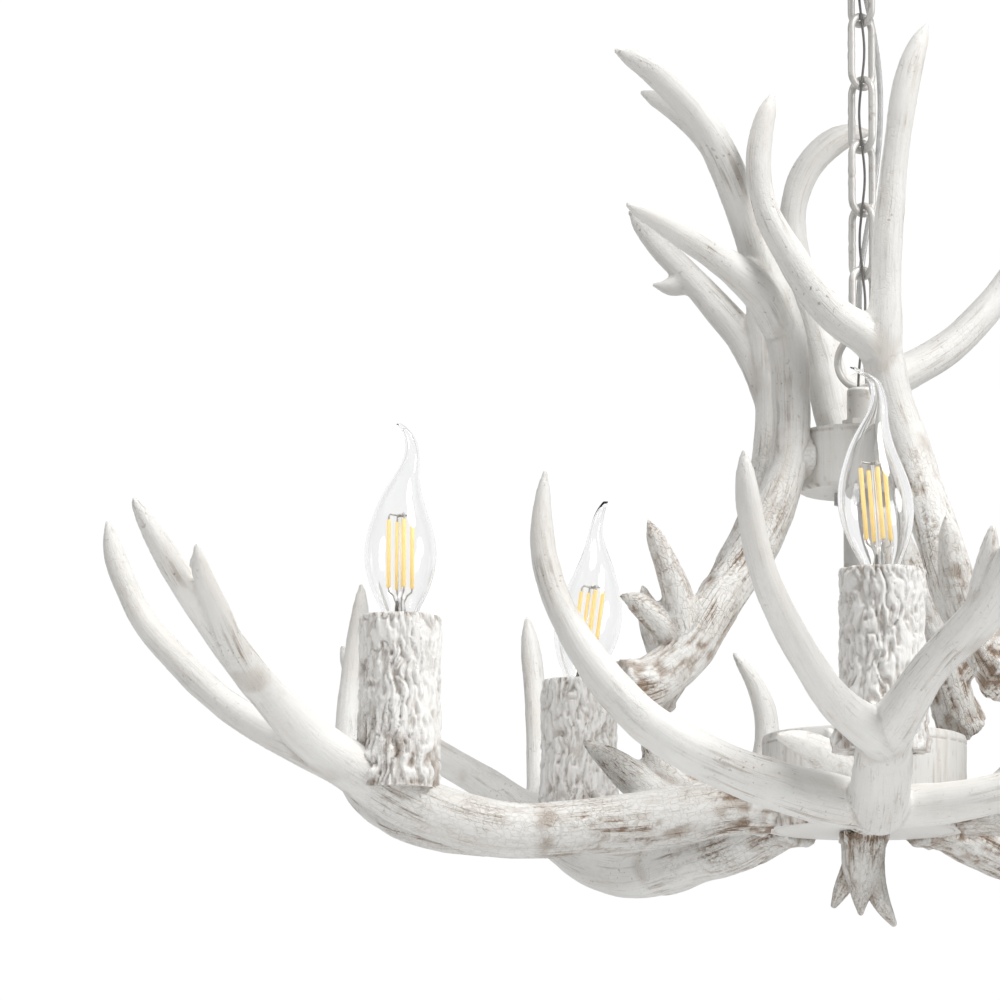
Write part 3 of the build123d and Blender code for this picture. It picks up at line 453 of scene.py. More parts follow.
# One horn in millimetres: rings along the smooth line, rounded at its tip
def hornRings(line, around=28):
    along, sides, ups = carried(line)
    angles = np.linspace(0.0, 2 * math.pi, around, endpoint=False)
    circle = [np.cos(angles)[:, None], np.sin(angles)[:, None]]
    rings = []
    for spot, way, side, up in zip(line, along, sides, ups):
        rings.append(spot[:3] + spot[3] * (circle[0] * side + circle[1] * up))
    tip, way, side, up = line[-1], along[-1], sides[-1], ups[-1]
    for share in (0.35, 0.62, 0.82, 0.95):
        narrow = tip[3] * math.sqrt(1 - share**2)
        rings.append(tip[:3] + way * tip[3] * share + narrow * (circle[0] * side + circle[1] * up))
    return rings


# Marks on the antlers, in millimetres, but for grainRound, how fine the grain is
# round a horn, and crackWidth, how much of the grain is crack
carving = {
    "grainLong": 26.0, "grainRound": 3.6, "crackWidth": 0.16, "crackDepth": 0.85, "wear": 24.0,
    "lump": 17.0, "lumpHigh": 0.5, "pearl": 3.4, "pearlHigh": 1.6,
    "knobLong": 6.0, "knobRound": 3.0, "knobHigh": 0.9,
}


# An antler: horns fused and smoothed at their forks, then worked with grain,
# pearls and creases. Lengths from its foot: burr for the pearls, rough for the
# knobs, grained for the worn part. fuller thickens the horns behind their tips.
def antler(name, horns, node, finish, seed, voxel=1.5):
    burr, rough, grained = (finish[key] for key in ("burr", "rough", "grained"))
    points, faces, samples = [], [], []
    shift = 0
    for index, stations in enumerate(horns):
        line, spots = smoothLine(stations)
        left = spots[-1] - spots
        behindTip = ease(left, 0.0, 9.0) * (1.0 - 0.7 * ease(left, 18.0, 60.0))
        line[:, 3] += 0.2 * ease(left, 0.0, 6.0) + finish["fuller"] * behindTip
        hornPoints, hornFaces = skin(hornRings(line))
        points.append(hornPoints)
        faces += [tuple(value + shift for value in face) for face in hornFaces]
        shift += len(hornPoints)
        along, sides, ups = carried(line)
        start = 0.0
        if index:
            beamLine = samples[0]["line"][:, :3]
            start = samples[0]["reach"][np.argmin(np.linalg.norm(beamLine - line[0, :3], axis=1))]
        samples.append({"line": line, "reach": spots + start, "along": along, "sides": sides, "ups": ups})
    raw = meshFrom(name, np.concatenate(points), faces)
    maker = bpy.data.objects.new(name + "Rough", raw)
    bpy.context.scene.collection.objects.link(maker)
    remesh = maker.modifiers.new("remesh", "REMESH")
    remesh.mode = "VOXEL"
    remesh.voxel_size = voxel
    relax = maker.modifiers.new("relax", "SMOOTH")
    relax.iterations = 5
    relax.factor = 0.5
    bpy.context.view_layer.update()
    data = bpy.data.meshes.new_from_object(maker.evaluated_get(bpy.context.evaluated_depsgraph_get()))
    bpy.data.objects.remove(maker)
    spots, normals = readPoints(data)
    line = np.concatenate([one["line"] for one in samples])
    reach = np.concatenate([one["reach"] for one in samples])
    sides = np.concatenate([one["sides"] for one in samples])
    ups = np.concatenate([one["ups"] for one in samples])
    nearest = np.empty(len(spots), int)
    fork = np.empty(len(spots))
    starts = np.cumsum([0] + [len(one["line"]) for one in samples[:-1]])
    for first in range(0, len(spots), 3000):
        gap = np.linalg.norm(spots[first:first + 3000, None, :] - line[None, :, :3], axis=2)
        nearest[first:first + 3000] = np.argmin(gap / (line[:, 3] + 1.5), axis=1)
        clear = np.sort(np.minimum.reduceat(gap - line[:, 3], starts, axis=1), axis=1)
        fork[first:first + 3000] = np.clip(1.0 - clear[:, 1] / 3.0, 0.0, 1.0)
    away = spots - line[nearest, :3]
    across = np.einsum("ij,ij->i", away, sides[nearest])
    over = np.einsum("ij,ij->i", away, ups[nearest])
    angle = np.arctan2(over, across)
    radius = line[nearest, 3]
    length = reach[nearest]
    turnX, turnY = np.cos(angle), np.sin(angle)
    worn = 1.0 - ease(length, grained * 0.35, grained)
    worn = np.clip(worn + 0.16 * layered(spots / carving["wear"], seed + 9), 0.0, 1.0)
    ribs = carving["grainRound"]
    grainSpace = np.stack([length / carving["grainLong"], turnX * ribs, turnY * ribs], axis=1)
    grooves = layered(grainSpace + seed, seed, 2)
    cracks = 1.0 - np.clip(np.abs(grooves) / carving["crackWidth"], 0.0, 1.0)
    lumps = layered(spots / carving["lump"], seed + 3, 2)
    pearl = np.clip(noise(spots / carving["pearl"], seed + 5), 0.0, 1.0)
    pearl *= 1.0 - ease(length, burr * 0.5, burr)
    girth = radius / carving["knobRound"]
    knobs = noise(np.stack([length / carving["knobLong"], turnX * girth, turnY * girth], axis=1), seed + 21)
    knobbly = (1.0 - ease(length, rough * 0.45, rough)) * ease(layered(spots / 30.0, seed + 23), -0.5, 0.4)
    broken = ease(noise(spots / 21.0, seed + 7), -0.35, 0.35)
    cracks = cracks * (0.15 + 0.85 * broken)
    depth = np.minimum(radius * 0.09, carving["crackDepth"])
    move = lumps * np.minimum(radius * 0.05, carving["lumpHigh"])
    move -= cracks * depth * (0.18 + 0.82 * worn)
    move += pearl * carving["pearlHigh"] - (1.0 - ease(length, 0.0, burr)) * 0.25
    move += knobbly * (carving["knobHigh"] * knobs - 0.3)
    spots = spots + normals * move[:, None]
    crease = cracks * (0.10 + 0.75 * worn) + (1.0 - ease(length, 0.0, burr)) * (0.6 - pearl * 2.2)
    blotch = ease(layered(spots * 0.1, seed + 31, 2), -0.2, 0.6)
    crease = np.clip(crease + knobbly * np.clip(-knobs * 1.8, 0.0, 1.0) + fork * blotch * 0.55, 0.0, 1.0)
    spots[:, 2] -= ceiling
    spots /= 1000.0
    data.vertices.foreach_set("co", spots.ravel())
    data.update()
    carry(data, "grain", np.stack([length / 1000, across / 1000, over / 1000], axis=1))
    carry(data, "worn", worn)
    carry(data, "crease", crease)
    placed(name, data, antlerResin, "chandelier", [node])
    print(node)


def turned(stations, one, shift, held=0.0):
    angle = math.radians(one["azimuth"])
    tilt = math.tan(math.radians(one["roll"]))
    made = []
    for index, (out, side, height, radius) in enumerate(stations):
        share = held + (1.0 - held) * (index / (len(stations) - 1)) ** 2
        fall = min(max((out - 230.0) / 50.0, 0.0), 1.0)
        fall = fall * fall * (3.0 - 2.0 * fall)
        reach = out + shift[0] * share
        lean = side + shift[1] * share
        rise = height + shift[2] * share + one["dip"] * fall + side * tilt
        x = -reach * math.sin(angle) - lean * math.cos(angle)
        y = -reach * math.cos(angle) + lean * math.sin(angle)
        made.append((x, y, rise, radius))
    return made


lower = {
    "beam": [
        (46.0, 0.0, 330.0, 12.8), (62.0, 0.0, 331.0, 13.4), (95.0, 2.0, 325.0, 13.8),
        (132.0, 0.0, 320.0, 13.0), (180.0, 0.0, 317.0, 13.0), (204.0, 0.0, 322.0, 13.2),
        (229.0, 0.0, 331.5, 12.8), (253.0, 0.0, 345.0, 11.6), (273.0, -4.0, 357.5, 10.2),
        (298.0, -18.0, 377.5, 8.3), (319.5, -36.0, 396.0, 7.6), (340.5, -50.0, 417.5, 6.5),
        (357.0, -58.0, 438.5, 4.9), (369.0, -60.0, 457.0, 2.0),
    ],
    "back": [
        (248.0, 0.0, 340.0, 9.0), (266.0, 4.0, 350.0, 9.6), (284.0, 17.0, 359.5, 8.2),
        (307.0, 33.0, 376.0, 6.9), (324.5, 45.0, 395.0, 6.4), (337.5, 53.0, 412.0, 5.9),
        (346.0, 57.0, 429.5, 5.2), (352.0, 59.0, 447.0, 4.2), (354.5, 59.0, 459.0, 1.6),
    ],
    "side": [
        (158.0, -4.0, 317.0, 10.0), (184.0, 20.0, 317.0, 11.4), (204.0, 51.0, 322.5, 11.0),
        (216.0, 82.0, 333.0, 10.0), (220.0, 109.5, 350.0, 9.0), (217.0, 131.0, 374.0, 7.6),
        (212.0, 145.5, 399.5, 6.2), (208.0, 151.5, 426.0, 4.8), (207.0, 150.5, 449.0, 1.6),
    ],
    "spurA": [
        (321.0, -36.0, 397.0, 4.6), (328.0, -38.0, 408.0, 4.6), (334.5, -41.0, 421.0, 3.9),
        (337.0, -43.0, 433.0, 2.0),
    ],
    "spurB": [
        (304.0, -24.0, 381.0, 6.0), (319.0, -42.0, 396.0, 5.8), (331.0, -58.0, 413.0, 5.0),
        (340.0, -68.0, 428.0, 3.6), (342.5, -72.0, 436.5, 1.8),
    ],
    "browA": [
        (92.0, 2.0, 329.0, 10.0), (106.0, 15.0, 341.0, 8.6), (117.0, 30.0, 353.5, 5.6),
        (124.0, 43.0, 361.5, 2.4),
    ],
    "browB": [
        (84.0, 4.0, 334.0, 9.5), (93.0, 10.0, 345.0, 8.0), (99.0, 16.0, 355.0, 5.2),
        (102.5, 20.0, 366.0, 2.4),
    ],
    "tray": [
        (150.0, 2.0, 318.0, 9.0), (168.0, -22.0, 317.0, 9.4), (178.0, -52.0, 321.0, 8.6),
        (182.0, -82.0, 334.0, 7.2), (181.0, -106.0, 354.0, 5.4), (178.0, -118.0, 378.0, 2.2),
    ],
}
still = (0.0, 0.0, 0.0)
# How each copy of the casting is turned, dipped, rolled and bent, with its candle:
# bulb gives the tail's turn, the lean and the hook, foot the sleeve's flared side.
lowerSet = [
    {
        "azimuth": 71.0, "dip": 0.0, "roll": 2.5, "rough": 70.0, "grained": 250.0,
        "beam": still, "back": still, "side": (0.0, 0.0, -6.0), "brow": still,
        "bulb": (0.0, 0.0, 0.0), "foot": (180.0, 0.0),
    },
    {
        "azimuth": 141.3, "dip": 0.0, "roll": 0.0, "rough": 40.0, "grained": 120.0,
        "beam": (-3.0, 10.0, -16.0), "back": (0.0, 0.0, 5.0), "side": (14.0, -58.0, -14.0), "brow": still,
        "bulb": (120.0, 7.5, 0.0), "foot": (0.0, 1.0),
    },
    {
        "azimuth": -2.0, "dip": -15.0, "roll": 0.0, "rough": 20.0, "grained": 110.0,
        "beam": still, "back": (0.0, 4.0, 4.0), "side": (0.0, -1.5, 12.0), "brow": (0.0, 0.0, -9.0),
        "bulb": (0.0, -4.5, -4.0), "foot": (200.0, 0.5),
    },
    {
        "azimuth": -73.0, "dip": 0.0, "roll": 0.0, "rough": 60.0, "grained": 230.0,
        "beam": still, "back": still, "side": still, "brow": still,
        "bulb": (60.0, 0.0, 0.0), "foot": (-30.0, 0.3),
    },
    {
        "azimuth": 214.0, "dip": 0.0, "roll": 0.0, "rough": 60.0, "grained": 200.0,
        "beam": still, "back": still, "side": still, "brow": still,
        "bulb": (300.0, 0.0, 0.0), "foot": (100.0, 0.3),
    },
]

for index, one in enumerate(lowerSet):
    lift = tuple(value * 0.75 for value in one["beam"])
    horns = [
        turned(lower["beam"], one, one["beam"]),
        turned(lower["back"], one, one["back"]),
        turned(lower["side"], one, one["side"]),
        turned(lower["spurA"], one, lift, 0.6),
        turned(lower["spurB"], one, lift, 0.6),
        turned(lower["browA"], one, one["brow"]),
        turned(lower["browB"], one, one["brow"]),
    ]
    if index == 2:
        horns.append(turned(lower["tray"], one, still))
    tag = str(index + 1)
    finish = {"burr": 14.0, "rough": one["rough"], "grained": one["grained"], "fuller": 0.4}
    antler("lowerAntler" + tag, horns, "lower_antler_" + tag, finish, 11 * index + 5)

upper = {
    "frontLeft": [
        [
            (-113.0, -64.0, 383.0, 12.6), (-106.0, -61.0, 384.0, 12.0), (-94.0, -56.0, 389.5, 11.4),
            (-80.0, -51.0, 404.0, 10.9), (-68.5, -44.0, 424.0, 10.8), (-53.0, -34.0, 448.0, 9.9),
            (-42.0, -26.0, 472.0, 9.4), (-35.0, -20.0, 497.0, 8.6), (-34.0, -20.0, 525.0, 8.6),
            (-38.0, -24.0, 560.0, 9.4), (-46.0, -30.0, 582.0, 9.2), (-53.0, -40.0, 604.0, 8.4),
            (-62.0, -50.0, 627.0, 7.8), (-73.5, -60.0, 648.5, 7.2), (-89.0, -68.0, 666.5, 6.0),
            (-103.0, -75.0, 677.0, 4.5), (-115.0, -80.0, 681.5, 1.8),
        ],
        [
            (-40.0, -27.0, 560.0, 8.4), (-47.0, -35.0, 572.0, 8.6), (-60.0, -50.0, 582.0, 7.6),
            (-77.0, -68.0, 591.0, 5.8), (-94.0, -84.0, 599.0, 4.0), (-109.0, -95.0, 605.0, 1.8),
        ],
        [
            (-82.0, -52.0, 404.0, 8.4), (-86.5, -55.0, 425.0, 6.6), (-92.5, -59.0, 442.0, 4.3),
            (-97.5, -62.0, 454.0, 2.9), (-100.5, -64.0, 461.0, 1.4),
        ],
        [
            (-84.0, -52.0, 404.0, 7.5), (-93.0, -54.0, 412.5, 6.2), (-101.0, -56.0, 419.5, 4.8),
            (-108.0, -57.0, 424.5, 3.8), (-112.0, -58.0, 426.0, 2.2),
        ],
    ],
    "backLeft": [
        [
            (-106.0, 58.0, 388.0, 11.8), (-101.0, 56.0, 395.0, 11.0), (-88.0, 50.0, 412.0, 10.4),
            (-74.0, 42.0, 432.0, 10.0), (-59.0, 33.0, 456.0, 9.6), (-49.0, 26.0, 480.0, 9.0),
            (-44.0, 23.0, 505.0, 8.8), (-43.0, 24.0, 535.0, 8.6), (-45.5, 27.0, 568.0, 8.8),
            (-49.0, 30.0, 593.0, 8.3), (-53.5, 34.0, 617.0, 7.6), (-61.5, 40.0, 640.0, 6.8),
            (-73.5, 46.0, 662.0, 6.0), (-90.0, 53.0, 680.0, 4.2), (-107.5, 60.0, 691.0, 1.8),
        ],
        [
            (-44.0, 25.0, 532.0, 8.0), (-50.5, 30.0, 551.0, 8.0), (-65.5, 38.0, 574.0, 7.4),
            (-83.5, 47.0, 596.0, 6.0), (-99.5, 54.0, 614.0, 4.4), (-113.0, 60.0, 631.5, 1.8),
        ],
        [
            (-85.0, 48.0, 594.0, 4.0), (-93.0, 48.0, 592.0, 3.4), (-101.0, 49.0, 593.0, 1.6),
        ],
        [
            (-92.0, 51.0, 407.0, 8.0), (-99.0, 58.0, 420.0, 6.8), (-104.0, 66.0, 434.0, 4.4),
            (-107.0, 72.0, 448.0, 1.8),
        ],
    ],
    "frontRight": [
        [
            (66.0, -104.0, 380.0, 12.4), (62.0, -99.0, 387.0, 11.6), (54.0, -88.0, 402.0, 11.0),
            (45.0, -75.0, 420.0, 10.8), (36.0, -59.0, 450.0, 10.4), (27.5, -45.0, 479.0, 9.6),
            (20.0, -38.0, 504.0, 9.4), (12.0, -37.0, 530.0, 9.4), (6.0, -40.0, 548.0, 9.4),
            (-7.0, -44.0, 557.0, 8.6), (-21.0, -49.0, 569.0, 8.0), (-34.0, -55.0, 588.0, 7.0),
            (-44.5, -60.0, 607.0, 5.9), (-48.5, -63.0, 627.0, 4.9), (-46.5, -64.0, 648.0, 3.9),
            (-42.0, -64.0, 663.5, 1.8),
        ],
        [
            (9.0, -39.0, 538.0, 8.4), (10.0, -41.0, 552.0, 8.4), (11.0, -43.0, 570.0, 7.2),
            (11.5, -45.0, 593.0, 6.6), (13.5, -46.0, 616.0, 6.2), (16.0, -47.0, 639.0, 6.0),
            (19.3, -48.0, 662.0, 5.4), (25.0, -48.0, 685.5, 4.0), (30.8, -48.0, 700.0, 1.6),
        ],
        [
            (51.0, -85.0, 406.0, 8.4), (44.0, -93.0, 423.0, 7.2), (40.0, -100.0, 440.0, 4.8),
            (38.0, -105.0, 456.0, 1.8),
        ],
        [
            (60.0, -96.0, 391.0, 8.0), (67.0, -93.0, 404.0, 6.6), (73.0, -92.0, 416.0, 4.4),
            (77.0, -92.0, 427.0, 2.0),
        ],
    ],
    "backRight": [
        [
            (48.0, 108.0, 383.0, 12.2), (45.0, 102.0, 390.0, 11.4), (38.0, 90.0, 408.0, 10.8),
            (28.0, 74.0, 434.0, 10.2), (14.0, 56.0, 466.0, 9.6), (-1.0, 45.0, 494.0, 9.2),
            (-12.0, 41.0, 520.0, 9.2), (-18.0, 41.0, 548.0, 9.4), (-26.0, 43.0, 576.0, 8.4),
            (-31.5, 45.0, 600.0, 7.2), (-34.0, 48.0, 623.0, 6.4), (-31.0, 51.0, 641.0, 6.0),
            (-23.0, 54.0, 656.0, 5.6), (-12.0, 57.0, 666.0, 5.0), (-3.0, 59.0, 669.5, 3.6),
            (4.0, 60.0, 670.0, 1.8),
        ],
        [
            (-13.0, 42.0, 528.0, 8.4), (-4.0, 48.0, 538.0, 8.6), (12.0, 56.0, 547.0, 8.6),
            (35.0, 68.0, 560.0, 8.0), (60.0, 82.0, 585.0, 7.0), (82.0, 92.0, 619.0, 5.2),
            (95.0, 96.0, 652.0, 1.8),
        ],
        [
            (40.0, 93.0, 404.0, 8.0), (52.0, 92.0, 416.0, 6.8), (61.0, 93.0, 430.0, 4.6),
            (66.0, 95.0, 446.0, 1.8),
        ],
        [
            (45.0, 101.0, 392.0, 7.8), (40.0, 112.0, 402.0, 6.4), (37.0, 120.0, 413.0, 4.2),
            (36.0, 126.0, 423.0, 2.0),
        ],
    ],
}
# Each pad runs from the upper drum's side to its beam: azimuth and reach
pads = {
    "height": 497.5, "radius": 8.6, "start": 30.0,
    "frontLeft": (60.0, 38.0), "backLeft": (117.5, 50.0),
    "frontRight": (-28.5, 46.0), "backRight": (180.0, 44.0),
}
upperFinish = {"burr": 14.0, "rough": 110.0, "grained": 190.0, "fuller": 1.3}
for index, (where, horns) in enumerate(upper.items()):
    azimuth, reach = pads[where]
    angle = math.radians(azimuth)
    pad = []
    for span in (pads["start"], (pads["start"] + reach) / 2, reach):
        pad.append((-math.sin(angle) * span, -math.cos(angle) * span, pads["height"], pads["radius"]))
    tag = str(index + 1)
    antler("upperAntler" + tag, horns + [pad], "upper_antler_" + tag, upperFinish, 17 * index + 61)

finialHorns = [
    [
        (0.0, 0.0, 320.5, 12.2), (-0.5, 0.0, 313.5, 10.6), (-1.0, -1.0, 304.5, 9.4),
        (-1.5, -2.0, 295.5, 6.6), (-2.0, -3.0, 287.5, 3.4), (-2.0, -3.5, 282.5, 1.6),
    ],
    [
        (-3.0, 2.0, 309.5, 6.4), (-7.0, 4.0, 301.5, 5.2), (-11.0, 5.0, 294.0, 3.8),
        (-14.5, 6.0, 287.0, 1.8),
    ],
    [
        (2.0, 0.0, 309.5, 7.0), (4.0, 1.0, 298.5, 5.8), (8.0, 2.0, 287.5, 4.2), (13.5, 3.0, 278.0, 1.8),
    ],
]
finialFinish = {"burr": 4.0, "rough": 10.0, "grained": 60.0, "fuller": 0.0}
antler("finialAntler", finialHorns, "finial_antler", finialFinish, 131, 0.7)
print("antlers")


# Points at an angle, a reach and a height about the centre
def about(angle, reach, height):
    return np.stack([np.cos(angle) * reach, np.sin(angle) * reach, height], axis=1)


# Lathe with a worked surface
def lathe(name, profile, centre, around, work, material, body, node):
    angles = np.linspace(0.0, 2 * math.pi, around, endpoint=False)
    points, faces = skin([about(angles, radius, np.full(around, height)) for radius, height in profile])
    radius = np.hypot(points[:, 0], points[:, 1])
    angle = np.arctan2(points[:, 1], points[:, 0])
    move, crease, worn = work(angle, radius, points[:, 2])
    scale = (radius + move) / np.maximum(radius, 0.001)
    points[:, 0] *= scale
    points[:, 1] *= scale
    grain = np.stack([points[:, 2], points[:, 0], points[:, 1]], axis=1) / 1000
    points += np.array([centre[0], centre[1], 0.0])
    points[:, 2] -= ceiling
    data = meshFrom(name, points / 1000, faces)
    carry(data, "grain", grain)
    carry(data, "crease", np.clip(crease, 0.0, 1.0))
    carry(data, "worn", np.clip(worn, 0.0, 1.0))
    placed(name, data, material, body, [node])


def dense(profile, gap):
    made = []
    for (radiusA, heightA), (radiusB, heightB) in zip(profile, profile[1:]):
        count = max(int(math.hypot(radiusB - radiusA, heightB - heightA) / gap), 1)
        for step in range(count):
            share = step / count
            made.append((radiusA + (radiusB - radiusA) * share, heightA + (heightB - heightA) * share))
    return made + [profile[-1]]


# Candle sleeves: grooved bark, knotted at the foot
sleeve = {
    "radius": 19.2, "bore": 14.5, "low": 334.0, "top": 415.0, "circle": 228.0, "around": 230, "gap": 0.55,
}


def barkWork(seed, footWay, footLeast):
    def work(angle, radius, height):
        outside = radius > sleeve["bore"] + 1.2
        warp = angle + 0.12 * noise(about(angle, 3, height / 9.0), seed)
        big = layered(about(warp, 6.4, height / 14.0) + seed, seed, 2)
        small = layered(about(warp, 12, height / 4.6), seed + 4, 2)
        spots = about(angle, radius, height)
        crack = 1.0 - np.clip(np.abs(big) / 0.17, 0.0, 1.0)
        nick = np.clip(-small * 1.7, 0.0, 1.0)
        foot = 1.0 - ease(height, sleeve["low"] + 13.0, sleeve["low"] + 31.0)
        facing = 0.5 + 0.5 * np.cos(angle - math.radians(footWay))
        kept = footLeast + (1.0 - footLeast) * facing**1.5
        flare = np.clip(radius - sleeve["radius"], 0.0, None) * (1.0 - kept)
        bumps = noise(spots / 4.0, seed + 8)
        move = -1.1 * crack - 1.2 * nick + 0.7 * np.clip(small, 0.0, 1.0)
        move += 0.3 * layered(spots / 4.0, seed + 2, 2)
        move += foot * (1.7 * np.clip(bumps, -0.3, 1.0) - 0.4) - flare
        crease = np.maximum(crack * 0.85, nick * nick) * (0.50 + 0.50 * noise(spots / 8.0, seed + 11))
        crease += foot * np.clip(-bumps * 1.3, 0.0, 0.8)
        worn = 0.25 + 0.45 * foot + 0.35 * noise(spots / 15.0, seed + 6)
        worn += 0.3 * ease(height, sleeve["top"] - 7.0, sleeve["top"])
        return np.where(outside, move, 0.0), np.where(outside, crease, 0.2), worn

    return work


sleeveProfile = dense(
    [
        (15.0, 334.0), (22.9, 334.0), (22.8, 341.0), (20.8, 350.0), (19.3, 362.0), (18.8, 375.0),
        (18.9, 398.0), (19.2, 413.4), (18.6, 414.8), (15.0, 414.6), (14.5, 413.0), (14.5, 385.0),
    ],
    sleeve["gap"],
)
glass = {
    "outline": [
        (411.0, 7.6, 0.0), (418.0, 9.2, 0.0), (424.0, 12.0, 0.0), (431.0, 14.7, 0.0), (438.0, 16.3, 0.0),
        (446.0, 16.7, 0.0), (455.0, 15.3, 0.0), (464.0, 12.3, 0.0), (473.0, 9.0, 0.8), (481.0, 6.0, 2.8),
        (489.0, 3.9, 4.9), (497.0, 2.7, 4.6), (502.5, 2.0, 2.0), (505.5, 1.3, -1.2),
    ],
    "foot": 411.0, "tip": 505.5, "wall": 1.0, "hollow": 503.5, "around": 72,
}
filament = {"count": 4, "first": 20.0, "reach": 5.7, "low": 428.0, "high": 459.8, "thick": 1.0, "ends": 0.7}
screwCap = {"threads": 14, "low": 389.0, "pitch": 1.3, "middle": 6.45, "depth": 0.38, "around": 48}


def joined(parts):
    points, faces, shift = [], [], 0
    for somePoints, someFaces in parts:
        points.append(np.asarray(somePoints))
        faces += [tuple(value + shift for value in face) for face in someFaces]
        shift += len(somePoints)
    return np.concatenate(points), faces


# A round bar of changing radius between two or more points, in millimetres
def bar(line, around=16):
    line = np.array(line, float)
    along, sides, ups = carried(line)
    angles = np.linspace(0.0, 2 * math.pi, around, endpoint=False)
    rings = []
    for spot, side, up in zip(line, sides, ups):
        rings.append(spot[:3] + spot[3] * (np.cos(angles)[:, None] * side + np.sin(angles)[:, None] * up))
    return skin(rings)


def lowered(points):
    points = np.array(points, float)
    points[:, 2] -= ceiling
    return points / 1000


# shape gives which way the tail turns, how far the bulb leans and its tip's hook
def bulb(tag, x, y, shape):
    body = "bulb_" + tag
    turnDegrees, tilt, hook = shape
    angle = math.radians(turnDegrees)
    slope = math.tan(math.radians(tilt))
    line = smoothLine([(lean, 0.0, height, radius) for height, radius, lean in glass["outline"]], 0.7)[0]
    heights, radii, leans = line[:, 2], line[:, 3], line[:, 0]
    angles = np.linspace(0.0, 2 * math.pi, glass["around"], endpoint=False)
    circle = about(angles, 1.0, np.zeros(glass["around"]))

    def leaned(across, depth, height):
        return (across + (height - glass["foot"]) * slope, depth, height)

    def shell(inset, top):
        rings = []
        for height, radius, lean in zip(heights, radii, leans):
            if height > top:
                break
            hooked = hook * float(ease(height, glass["tip"] - 7.0, glass["tip"]))
            across = x + lean * math.cos(angle) + hooked
            centre = np.array(leaned(across, y + lean * math.sin(angle), height))
            rings.append(centre + max(radius - inset, radius * 0.3) * circle)
        return rings

    rings = shell(glass["wall"], glass["hollow"])[::-1] + shell(0.0, glass["tip"] + 1.0)
    points, faces = skin(rings)
    data = meshFrom("bulbGlass", lowered(points), faces)
    placed("bulbGlass" + tag, data, bulbGlass, body, ["bulb_glass_" + tag])
    rods, wires = [], []
    low, high, reach = filament["low"], filament["high"], filament["reach"]
    thick, ends = filament["thick"], filament["ends"]
    for quarter in range(filament["count"]):
        spin = math.radians(filament["first"] + 360.0 / filament["count"] * quarter)
        way = (math.cos(spin), math.sin(spin))

        def rung(out, height, wide):
            return (*leaned(x + out * way[0], y + out * way[1], height), wide)

        rod = [rung(reach, low, ends), rung(reach, low + 0.5, thick)]
        rods.append(bar(rod + [rung(reach, high - 0.5, thick), rung(reach, high, ends)]))
        bridge = [rung(reach, high - 0.2, 0.45), rung(reach, high + 1.6, 0.5)]
        wires.append(bar(bridge + [rung(4.9, high + 2.7, 0.45), rung(0.3, high + 2.0, 0.5)], 8))
        leg = [rung(reach, low + 0.4, 0.45), rung(5.6, low - 1.6, 0.5), rung(3.4, low - 3.4, 0.45)]
        wires.append(bar(leg + [rung(1.9, low - 7.0, 0.4), rung(2.7, low - 14.5, 0.45)], 8))
    core = [(411.2, 5.2), (413.5, 3.8), (417.0, 2.6), (421.5, 2.1), (424.0, 1.2), (461.0, 0.8), (462.6, 1.2)]
    stem = bar([(*leaned(x, y, height), radius) for height, radius in core], 20)
    for label, parts, material, nodes in (
        ("filaments", rods, filamentGlow, ["bulb_core_" + tag]),
        ("leadWires", wires, wireMetal, []),
        ("glassStem", [stem], bulbGlass, []),
    ):
        points, faces = joined(parts)
        placed(label + tag, meshFrom(label, lowered(points), faces), material, body, nodes)
    thread = [(2.6, 385.0), (2.6, 386.4), (6.0, 388.0)]
    for step in range(screwCap["threads"]):
        reach = screwCap["middle"] + screwCap["depth"] * math.cos(step * math.pi)
        thread.append((reach, screwCap["low"] + step * screwCap["pitch"]))
    thread += [(6.6, 408.6), (8.4, 409.0), (8.6, 410.0), (8.2, 411.0)]
    lathe("screwCap" + tag, thread, (x, y), screwCap["around"], plainWork, capMetal, body, "bulb_base_" + tag)


def plainWork(angle, radius, height):
    return np.zeros(len(angle)), np.zeros(len(angle)), np.zeros(len(angle))


for index, one in enumerate(lowerSet):
    angle = math.radians(one["azimuth"])
    x, y = -sleeve["circle"] * math.sin(angle), -sleeve["circle"] * math.cos(angle)
    tag = str(index + 1)
    work = barkWork(23 * index + 23, *one["foot"])
    node = "candle_sleeve_" + tag
    lathe("candleSleeve" + tag, sleeveProfile, (x, y), sleeve["around"], work, barkResin, "chandelier", node)
    bulb(tag, x, y, one["bulb"])
print("candles and bulbs")


# Drums: fluted sides, rough rims
def drumWork(one):
    radius, low, high, seed = one["radius"], one["low"], one["high"], one["seed"]

    def work(angle, reach, height):
        onSide = ease(reach, radius - 2.5, radius - 0.6)
        warp = angle + 0.02 * noise(about(angle, 6, height / 9.0), seed)
        ribs = layered(about(warp, 1.0, height / 60.0 / one["flutes"]) * one["flutes"], seed, 2)
        line = (1.0 - np.clip(np.abs(ribs) / 0.22, 0.0, 1.0)) * one["depth"]
        spots = about(angle, reach, height)
        rim = 1.0 - ease(height, low + 1.5, low + 6.0)
        chips = np.clip(noise(spots / 3.2, seed + 2), -1.0, 1.0)
        groove = np.clip(1.0 - np.abs(height - high + one["groove"]) / 0.6, 0.0, 1.0)
        dashes = ease(noise(spots / np.array([4.0, 4.0, 30.0]), seed + 12), -0.5, 0.2)
        move = onSide * (0.25 * noise(spots / 9.0, seed + 3) - 0.45 * line - 0.5 * groove)
        move -= rim * onSide * (0.9 * np.clip(chips, 0.0, 1.0) + one["narrow"])
        crease = onSide * (line * 0.45 + groove * dashes * 0.9 + rim * np.clip(chips * 2.2, 0.0, 1.0))
        worn = 0.12 + 0.5 * one["depth"] * rim + 0.3 * noise(spots / 13.0, seed + 5)
        return move, crease, worn

    return work


